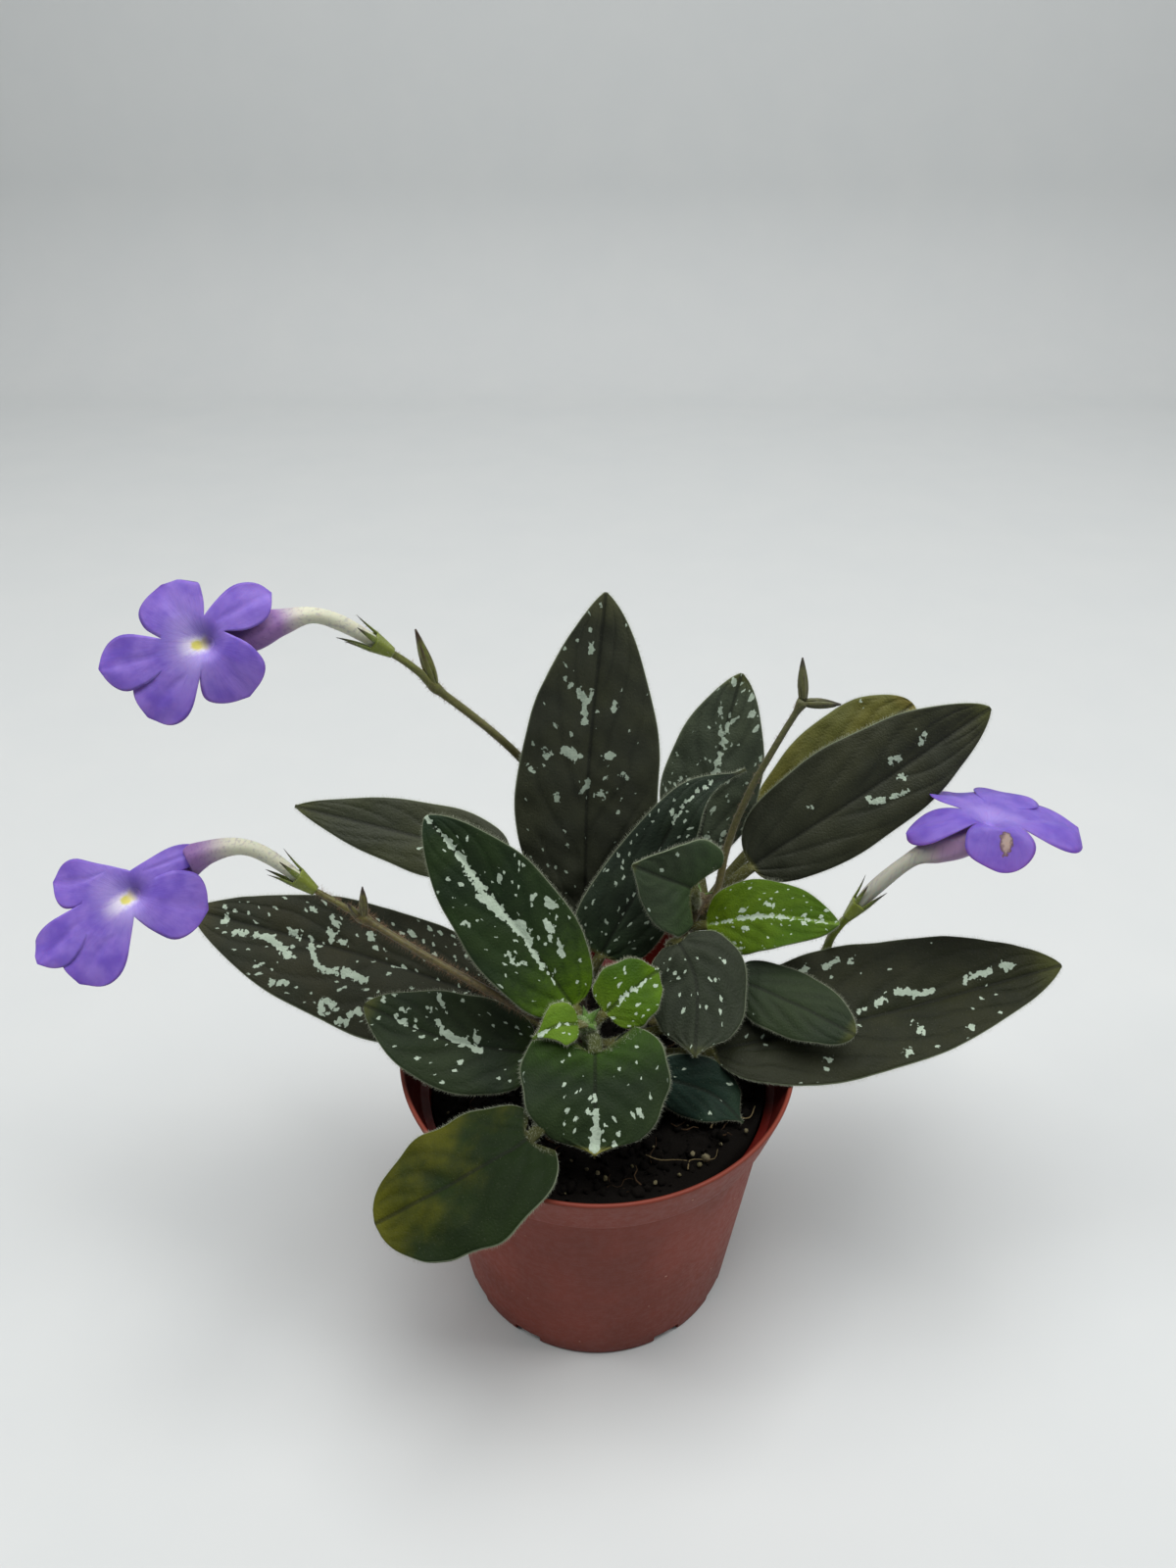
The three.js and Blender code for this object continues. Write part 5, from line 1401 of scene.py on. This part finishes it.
def petal_material(name, look):
    """Violet limb with a pale streak to a yellow spot at the throat, painted shade above the
    mouth, a mauve funnel and a cream tube"""
    shader = Shader(name + "_skin")
    mix = shader.mix
    _, zone, inside, index = shader.parts("zone")
    limb, along, across, _ = shader.parts("limb")
    _, u, s, rim = shader.parts("petal")
    deep, spotted = look["deep"], look.get("spot", 1.0)
    broad = shader.noise(limb, 0.16)
    fine = shader.noise(limb, 0.9, 4.0, 0.6)
    radius = shader.length(along, across).larger(0.5)
    veins = shader.noise(shader.join(along / radius, across / radius, radius * 0.02), 11.0, 3.0, 0.6)

    face = mix(broad.step(0.35, 0.7), look["violet"], deep)
    face = mix(veins.step(0.5, 0.72, 0.0, 0.3), face, deep)
    pale = (veins * 6.0 + radius).step(16.0, 4.0) * along.step(-3.0, 5.0)
    face = mix(pale * veins.step(0.25, 0.6, 0.5, 0.85), face, look["pale"])
    streak = abs(fine * 1.4 + (across - 0.7)).step(2.6, 0.5) * along.step(look["streak"], 2.0)
    streak = streak * along.step(-1.0, 1.5) * veins.step(0.2, 0.55, 0.5, 0.95)
    face = mix(streak * spotted, face, (236, 232, 240))
    spot = fine * 0.9 + shader.length(along - 2.2, across)
    face = mix(spot.step(2.0, 1.1, 0.0, spotted), face, (214, 206, 104))
    face = mix((fine * 0.06 + rim).step(0.93, 1.0, 0.0, 0.45), face, look["edge"])
    if "blemish" in look:
        petal_number, at_u, at_s, size = look["blemish"]
        torn = fine * 2.2 + shader.length((u - at_u) * 10.0, (s - at_s) * 6.0)
        scar = torn.step(size + 1.2, size + 0.9) * shader.math("COMPARE", index, petal_number, 0.4)
        core = mix(torn.step(size - 0.1, size + 1.0), (176, 158, 138), (98, 74, 72))
        face = mix(scar * 0.9, face, core)
    # Darker violet round the upper side of the mouth: painted shade
    painted_mouth_shade = radius.step(4.5, 1.5) * along.step(0.8, -1.5)
    face = mix(painted_mouth_shade * 0.14, face, (110, 86, 170))
    throat = mix(along.step(-0.6, 1.6, 0.0, spotted), (150, 128, 210), (220, 212, 150))
    face = mix(zone.step(1.04, 0.99), face, throat)

    tube = mix(zone.step(*look["cream_to"]), look["tube"], look["funnel"])
    lines = shader.noise(shader.join(along * 1.2, across * 1.2, zone * 1.5), 1.2)
    tube = mix(lines.step(0.5, 0.68, 0.0, 0.3), tube, look["funnel_dark"])
    back = mix(veins.step(0.45, 0.7, 0.0, 0.35), look["back"], deep)
    outside = mix(zone.step(0.92, 1.35), tube, back)
    whole = mix(inside.step(0.4, 0.6), outside, face)
    return shader.finish(whole, 0.5, shader.bump(veins * 0.8 + fine * 0.4, 0.00018, 0.6),
                         Sheen_Weight=0.3, Sheen_Roughness=0.35, Sheen_Tint=colour(190, 180, 240),
                         Subsurface_Weight=look.get("glow", 0.12), Subsurface_Scale=0.001,
                         Specular_IOR_Level=0.3)


def pot_material():
    """Matt terracotta plastic: faint moulding lines, dust and scuffs, with painted shade
    inside the wall and on the lip
    """
    shader = Shader("pot_plastic")
    mix = shader.mix
    spot = shader.place()
    x, y, height = shader.split(spot)
    top, wall_top = POT["height"], POT["wall_top"]
    dust = shader.noise(spot, 0.5, 6.0, 0.7)
    broad = shader.noise(spot, 0.035, 4.0, 0.55)
    base = mix(broad.step(0.35, 0.65), (132, 58, 43), (118, 52, 38))
    base = mix(dust.step(0.58, 0.8, 0.0, 0.22), base, (160, 104, 82))
    specks, random = shader.cells(spot, 0.22)
    base = mix(specks.step(0.09, 0.05) * random.over(0.86) * 0.55, base, (206, 170, 150))
    wall = height.step(0.0, SHOULDER, POT["base_radius"], wall_top, "LINEAR")
    band = height.step(SHOULDER, top, POT["band_foot"] - wall_top, POT["rim_radius"] - wall_top, "LINEAR")
    skin = height.over(SHOULDER) * band + wall
    # Inside the wall, nearer the axis than the outer skin: painted shade, a deep dark red
    base = mix((skin - shader.length(x, y)).step(0.5, 0.9), base, (88, 20, 14))
    # The lip is darkened: painted shade that tones down the light falling on its top
    base = mix(height.step(top - 1.3, top - 0.3) * 0.6, base, (112, 52, 39))
    base = mix(height.step(9.0, 0.0, 0.0, 0.35), base, (92, 44, 36))
    lines = shader.noise(shader.join(0.0, 0.0, height), 1.6, 2.0)
    return shader.finish(base, dust.step(0.3, 0.75, 0.42, 0.62),
                         shader.bump(lines * 0.5 + dust * 0.7, 0.00016, 0.5), Specular_IOR_Level=0.2)


PEAT = {
    "peat": ((5, 4, 3), (19, 15, 11)),
    "bark": ((44, 32, 22), (74, 58, 40)),
    "grit": ((128, 120, 96), (84, 80, 52)),
    "straw": ((96, 84, 58), (124, 110, 80)),
}


def peat_material(name, dark, light):
    shader = Shader(name + "_grain")
    tone = shader.parts("stalk")[1]
    spot = shader.place()
    fine = shader.noise(spot, 0.8, 6.0, 0.7)
    base = shader.mix((tone + fine) * 0.5, dark, light)
    base = shader.mix(fine.step(0.55, 0.75), base, light)
    return shader.finish(base, 0.92, shader.bump(shader.noise(spot, 2.2, 5.0, 0.7), 0.0006, 0.9),
                         Specular_IOR_Level=0.1)


# Looks of the leaves: colours of the blade, its base (heart), tip and the painted shade in
# its veins; layers of silver flecks (distance apart, share of the places, largest radius);
# and larger silver marks, each from one place to another (share of the length, share of
# the half width) with a breadth
FEW = [[3.4, 0.1, 0.6]]
DARK = dict(slot="leaf_dark", tip=(84, 88, 44), painted_vein_shade=(20, 23, 17))
LEAF_LOOKS = {
    "leaf_back_tall": DARK | dict(
        seed=1, base=(54, 57, 44), second=(60, 63, 44), tip=(88, 90, 62), flecks=[[3.2, 0.22, 0.55]],
        marks=[[0.86, -0.24, 0.85, -0.22, 1.8], [0.78, -0.63, 0.76, -0.5, 1.6],
               [0.75, -0.32, 0.71, -0.16, 1.8], [0.74, -0.05, 0.71, -0.16, 1.6],
               [0.71, -0.16, 0.66, -0.13, 1.8], [0.58, -0.37, 0.56, -0.2, 2.6],
               [0.58, -0.68, 0.56, -0.63, 1.8], [0.58, 0.33, 0.56, 0.22, 1.6],
               [0.53, -0.84, 0.52, -0.78, 1.9], [0.49, 0.02, 0.45, -0.07, 1.4],
               [0.45, 0.18, 0.44, 0.2, 1.9], [0.46, -0.45, 0.43, -0.41, 1.6],
               [0.72, 0.33, 0.7, 0.33, 1.4], [0.52, 0.49, 0.51, 0.54, 1.6]]),
    "leaf_back_right": DARK | dict(
        seed=2, base=(70, 79, 63), second=(77, 86, 66), flecks=[[2.0, 0.32, 0.5], [3.6, 0.34, 0.95]],
        marks=[[0.25, -0.1, 0.42, 0.02, 1.0], [0.42, 0.02, 0.68, 0.05, 1.7],
               [0.68, 0.05, 0.82, 0.0, 1.2]]),
    "leaf_centre_curled": DARK | dict(
        seed=3, base=(38, 49, 38), second=(44, 56, 40), heart=(48, 66, 40), heart_to=(0.3, 0.05),
        flecks=[[2.1, 0.3, 0.5], [3.8, 0.2, 0.8]], marks=[[0.55, 0.0, 0.8, 0.02, 0.8]]),
    "leaf_arrow": DARK | dict(
        seed=4, base=(48, 62, 44), second=(58, 72, 48), heart=(58, 78, 44), flecks=FEW),
    "leaf_right_bright": dict(
        seed=5, slot="leaf_bright", gloss=0.1, base=(68, 98, 16), second=(84, 112, 20),
        heart=(94, 120, 16), tip=(66, 88, 30), painted_vein_shade=(46, 72, 14), midrib=(120, 150, 60),
        flecks=[[2, 0.3, 0.4], [3.6, 0.26, 0.75]],
        marks=[[0.05, 0.02, 0.3, 0.0, 0.8], [0.3, 0.0, 0.62, 0.03, 1.6], [0.62, 0.03, 0.9, 0.0, 1.0],
               [0.35, 0.3, 0.4, 0.36, 1.0], [0.5, -0.35, 0.56, -0.3, 1.1]]),
    "leaf_right_oval": DARK | dict(
        seed=6, point=0.86, scallop=0.03, gloss=0.12, base=(54, 60, 46), second=(46, 53, 39),
        flecks=[[2.2, 0.3, 0.5], [4, 0.12, 0.75]]),
    "leaf_right_small": DARK | dict(
        seed=7, gloss=0.12, base=(42, 53, 36), second=(47, 59, 36), flecks=[[5, 0.06, 0.7]]),
    "leaf_right_low": DARK | dict(
        seed=8, gloss=0.12, base=(40, 43, 28), second=(48, 50, 31), flecks=[[3.4, 0.16, 0.55]],
        marks=[[0.39, -0.75, 0.43, -0.8, 2.0], [0.29, -0.75, 0.34, -0.8, 1.7],
               [0.46, -0.75, 0.48, -0.84, 1.2], [0.56, -0.23, 0.6, -0.2, 2.4],
               [0.6, -0.14, 0.65, -0.14, 1.7], [0.49, -0.14, 0.52, -0.17, 1.4],
               [0.44, -0.09, 0.45, -0.12, 2.0], [0.74, -0.2, 0.82, -0.3, 1.9],
               [0.85, -0.37, 0.87, -0.33, 2.1], [0.58, 0.48, 0.58, 0.52, 2.1],
               [0.57, 0.3, 0.57, 0.32, 1.7], [0.52, 0.8, 0.53, 0.8, 2.1], [0.7, 0.75, 0.71, 0.8, 1.6],
               [0.32, 0.55, 0.33, 0.57, 1.8]]),
    "leaf_right_high": DARK | dict(
        seed=9, base=(47, 50, 36), second=(55, 57, 38), flecks=[[5, 0.07, 0.55]],
        marks=[[0.75, -0.36, 0.73, -0.23, 1.6], [0.6, -0.23, 0.63, -0.23, 2.2],
               [0.6, 0.12, 0.6, 0.19, 1.9], [0.46, 0.19, 0.49, 0.32, 2.4],
               [0.53, 0.41, 0.59, 0.51, 1.4], [0.3, -0.32, 0.3, -0.27, 1.4]]),
    "leaf_right_olive": dict(
        seed=10, slot="leaf_olive", base=(108, 106, 46), second=(94, 96, 44), tip=(140, 130, 66),
        painted_vein_shade=(60, 58, 30), flecks=[[3.4, 0.14, 0.6]]),
    "leaf_left_back": DARK | dict(
        seed=11, base=(56, 60, 44), second=(62, 66, 42), flecks=[[4.5, 0.07, 0.6]]),
    "leaf_left_striped": dict(
        seed=12, slot="leaf_mid", gloss=0.08, base=(34, 47, 30), second=(42, 58, 30),
        heart=(84, 118, 8), heart_to=(0.44, 0.0), tip=(40, 56, 40), painted_vein_shade=(20, 38, 16),
        flecks=[[2.2, 0.26, 0.5], [4, 0.1, 0.8]],
        marks=[[0.99, 0.05, 0.98, 0.0, 1.3], [0.95, 0.1, 0.9, 0.07, 1.0],
               [0.87, 0.07, 0.73, -0.03, 2.0], [0.73, -0.03, 0.63, -0.07, 2.2],
               [0.61, -0.19, 0.54, -0.07, 3.0], [0.54, -0.07, 0.4, 0.0, 2.3],
               [0.42, 0.07, 0.36, 0.03, 2.7], [0.36, 0.0, 0.26, -0.05, 1.5],
               [0.26, -0.05, 0.16, -0.03, 0.9], [0.43, 0.75, 0.41, 0.78, 2.5],
               [0.37, 0.5, 0.35, 0.5, 2.3], [0.29, 0.48, 0.24, 0.42, 1.6],
               [0.48, 0.57, 0.48, 0.63, 1.5], [0.58, -0.77, 0.55, -0.7, 1.4],
               [0.37, -0.44, 0.34, -0.39, 1.4], [0.33, -0.44, 0.3, -0.28, 1.0]]),
    "leaf_tip_left": dict(
        seed=13, slot="leaf_bright", gloss=0.1, point=0.5, base=(80, 114, 22), second=(106, 136, 36),
        heart=(96, 126, 34), tip=(112, 142, 60), painted_vein_shade=(56, 96, 22), flecks=[[2.0, 0.2, 0.5]], hair=1.4,
        hair_tone="young", marks=[[0.1, 0.0, 0.85, 0.0, 0.8]]),
    "leaf_tip_right": dict(
        seed=14, slot="leaf_bright", gloss=0.1, point=0.86, scallop=0.035, base=(56, 86, 14),
        second=(86, 120, 14), heart=(90, 118, 26), tip=(52, 78, 24), painted_vein_shade=(42, 70, 16),
        flecks=[[1.9, 0.4, 0.6]], hair=1.3, hair_tone="young",
        marks=[[0.3, 0.0, 0.6, 0.05, 1.3], [0.6, 0.05, 0.8, 0.0, 0.8]]),
    "leaf_left_spotted": DARK | dict(
        seed=15, gloss=0.13, base=(48, 51, 38), second=(54, 54, 38), tip=(72, 70, 44),
        flecks=[[2.4, 0.34, 0.6], [4.6, 0.14, 0.95]],
        marks=[[0.8, -0.2, 0.76, -0.14, 2.2], [0.76, -0.14, 0.7, -0.33, 2.5],
               [0.65, -0.07, 0.63, -0.23, 1.9], [0.63, -0.23, 0.6, -0.37, 1.7],
               [0.59, -0.37, 0.54, -0.3, 1.9], [0.54, -0.3, 0.47, -0.3, 2.4],
               [0.86, -0.3, 0.83, -0.23, 1.9], [0.72, 0.14, 0.69, 0.02, 1.7],
               [0.61, 0.27, 0.6, 0.14, 2.2], [0.62, 0.57, 0.59, 0.37, 1.4],
               [0.5, 0.44, 0.49, 0.37, 2.1], [0.72, -0.84, 0.68, -0.75, 1.7],
               [0.56, -0.75, 0.52, -0.78, 2.2], [0.57, -0.85, 0.55, -0.92, 1.9],
               [0.48, -0.8, 0.45, -0.7, 2.1], [0.5, -0.93, 0.48, -0.9, 2.2],
               [0.9, 0.0, 0.9, -0.14, 1.9], [0.68, 0.65, 0.67, 0.61, 1.9], [0.57, 0.14, 0.56, 0.12, 1.9]]),
    "leaf_left_centre": DARK | dict(
        seed=16, gloss=0.1, base=(38, 49, 33), second=(45, 56, 35), heart=(50, 68, 30),
        heart_to=(0.3, 0.05), flecks=[[2.6, 0.3, 0.6]],
        marks=[[0.58, 0.33, 0.54, 0.17, 1.3], [0.54, 0.17, 0.44, 0.0, 1.8],
               [0.44, 0.08, 0.32, -0.08, 1.9], [0.62, 0.83, 0.58, 0.67, 1.6],
               [0.79, 0.0, 0.74, 0.04, 1.4], [0.79, 0.39, 0.78, 0.39, 1.6],
               [0.66, 0.52, 0.65, 0.52, 1.4], [0.36, 0.27, 0.34, 0.08, 1.4]]),
    "leaf_left_small": DARK | dict(seed=17, base=(36, 48, 30), second=(46, 58, 34), flecks=FEW),
    "leaf_front_heart": dict(
        seed=18, slot="leaf_mid", gloss=0.08, point=0.87, scallop=0.02, petiole=(66, 72, 40),
        base=(38, 50, 32), second=(46, 60, 34), heart=(50, 76, 20), heart_to=(0.5, 0.05),
        tip=(190, 186, 96), painted_vein_shade=(22, 36, 18), flecks=[[2.4, 0.28, 0.55], [4, 0.1, 0.85]],
        marks=[[0.4, 0.0, 0.56, 0.02, 0.9], [0.56, 0.02, 0.72, -0.02, 1.7],
               [0.72, -0.02, 0.93, 0.0, 2.6]]),
    "leaf_front_teal": DARK | dict(
        seed=19, gloss=0.1, point=0.75, base=(28, 46, 38), second=(34, 54, 40), tip=(60, 76, 50),
        flecks=[[2.6, 0.26, 0.6]], under=(128, 136, 92)),
    "leaf_front_yellowing": dict(
        seed=20, slot="leaf_olive", gloss=0.08, petiole=(56, 58, 32), scallop=0.035, base=(24, 36, 14),
        second=(31, 45, 16), heart=(26, 40, 14), tip=(80, 84, 36), painted_vein_shade=(20, 30, 14),
        patch=(84, 84, 12), patch_side=0.02, flecks=[[5, 0.14, 0.8]]),
    "leaf_front_tiny": DARK | dict(
        seed=21, base=(40, 54, 30), second=(50, 66, 34), flecks=FEW, hair=1.3),
}

STALK_LOOKS = {
    "stalk_upper_left": dict(
        seed=31, hair=2.4, hair_length=(0.5, 1.3), tone="brown", root=(84, 70, 38), end=(100, 106, 40),
        dark=(58, 42, 26)),
    "stalk_left": dict(
        seed=32, hair=5.0, hair_length=(0.8, 2.2), tone="rust", root=(74, 58, 38), end=(98, 96, 42),
        dark=(46, 34, 24), slim=0.72, mottle=0.5),
    "stalk_right": dict(
        seed=33, hair=2.2, hair_length=(0.5, 1.3), tone="brown", root=(96, 92, 40), end=(132, 150, 34),
        dark=(84, 76, 34)),
    "stalk_back": dict(
        seed=34, hair=2.4, hair_length=(0.5, 1.2), tone="brown", root=(98, 88, 44), end=(84, 86, 46),
        dark=(46, 42, 28)),
}

GREEN_CUP = dict(root=(120, 132, 38), end=(98, 112, 32), dark=(50, 44, 26), mottle=0.15)
VIOLET = dict(violet=(138, 112, 204), deep=(112, 86, 190), pale=(184, 170, 224), edge=(84, 58, 158),
              back=(146, 120, 192), tube=(206, 206, 182), funnel=(140, 104, 160),
              funnel_dark=(100, 68, 128), cream_to=(0.42, 0.66), streak=7.0, calyx=GREEN_CUP)
FLOWER_LOOKS = {
    "upper_left": VIOLET | dict(seed=41),
    "left": VIOLET | dict(seed=42, streak=9.0),
    "right": VIOLET | dict(
        seed=43, violet=(120, 96, 186), deep=(98, 74, 172), pale=(160, 142, 208), tube=(182, 182, 166),
        spot=0.0, blemish=(3.0, 0.15, 0.45, 1.9), funnel=(166, 134, 168), funnel_dark=(130, 98, 144),
        glow=0.3),
}


# Studio: sizes, places and lamp powers in metres and watts

STUDIO = dict(front=-1.5, near=-1, bend=0.18, back=1.15, reach=3.0, heights=[1.4, 2.6])
LAMPS = {
    "left": dict(place=(-0.85, -0.05, 0.95), target=(0, 0, 0.1), size=0.4, power=4.2, tint=(1, 0.99, 0.97)),
    "right": dict(place=(0.85, -0.1, 1.0), target=(0, 0, 0.1), size=0.4, power=4.6, tint=(1, 0.99, 0.98)),
    "top": dict(place=(0.12, 0, 1.7), target=(0, 0.1, 0.1), size=1.2, power=25, tint=(1, 1, 1)),
}
CAMERA = dict(place=(-0.0025, -0.229, 0.307), pitch=57.65, sensor=36, focal_pixels=1200,
              pixels_high=1600)


def make_floor():
    """Pale floor that curves up into a wall"""
    bend, back, reach = STUDIO["bend"], STUDIO["back"], STUDIO["reach"]
    turn = np.linspace(0, math.pi / 2, 24)
    line = [[STUDIO["front"], 0]] + [[y, 0] for y in np.linspace(STUDIO["near"], back - bend, 8)]
    line += [[back - bend + bend * math.sin(a), bend - bend * math.cos(a)] for a in turn[1:]]
    line += [[back, height] for height in STUDIO["heights"]]
    points = [[x, y, z] for y, z in line for x in (-reach, reach)]
    faces = [[2 * k, 2 * k + 1, 2 * k + 3, 2 * k + 2] for k in range(len(line) - 1)]
    mesh = bpy.data.meshes.new("floor")
    mesh.from_pydata(points, [], faces)
    mesh.polygons.foreach_set("use_smooth", np.ones(len(faces), bool))
    shader = Shader("studio_floor")
    tone = shader.mix(shader.noise(shader.place(), 0.02), (205, 207, 206), (200, 203, 203))
    mesh.materials.append(shader.finish(tone, 0.7, Specular_IOR_Level=0.2))
    add_object("floor", mesh)


def make_lights():
    """Soft lamps and a pale sky"""
    for name, lamp in LAMPS.items():
        light = bpy.data.lights.new(name, "AREA")
        light.energy, light.size, light.color = lamp["power"], lamp["size"], lamp["tint"]
        thing = add_object(name, light)
        thing.location = lamp["place"]
        away = Vector(lamp["place"]) - Vector(lamp["target"])
        thing.rotation_euler = away.to_track_quat("Z", "Y").to_euler()
    scene = bpy.context.scene
    scene.world = scene.world or bpy.data.worlds.new("studio")
    scene.world.use_nodes = True
    sky = scene.world.node_tree.nodes["Background"]
    sky.inputs["Color"].default_value = colour(226, 234, 242)
    sky.inputs["Strength"].default_value = 0.14
    scene.view_settings.view_transform = "Standard"


def make_camera():
    lens = bpy.data.cameras.new("camera")
    lens.sensor_width = CAMERA["sensor"]
    lens.lens = CAMERA["sensor"] * CAMERA["focal_pixels"] / CAMERA["pixels_high"]
    lens.clip_start = 0.01
    camera = add_object("camera", lens)
    camera.location = CAMERA["place"]
    camera.rotation_euler = (math.radians(CAMERA["pitch"]), 0, 0)
    bpy.context.scene.camera = camera


make_pot()
make_soil()
for name in STEMS:
    make_stem(name)
for name, leaf in LEAVES.items():
    make_leaf(name, leaf, LEAF_LOOKS[name])
for name, stalk in STALKS.items():
    make_stalk(name, stalk, STALK_LOOKS[name])
for name, flower in FLOWERS.items():
    make_calyx("calyx_" + name, flower, FLOWER_LOOKS[name])
    make_corolla("corolla_" + name, flower, FLOWER_LOOKS[name])
make_floor()
make_lights()
make_camera()
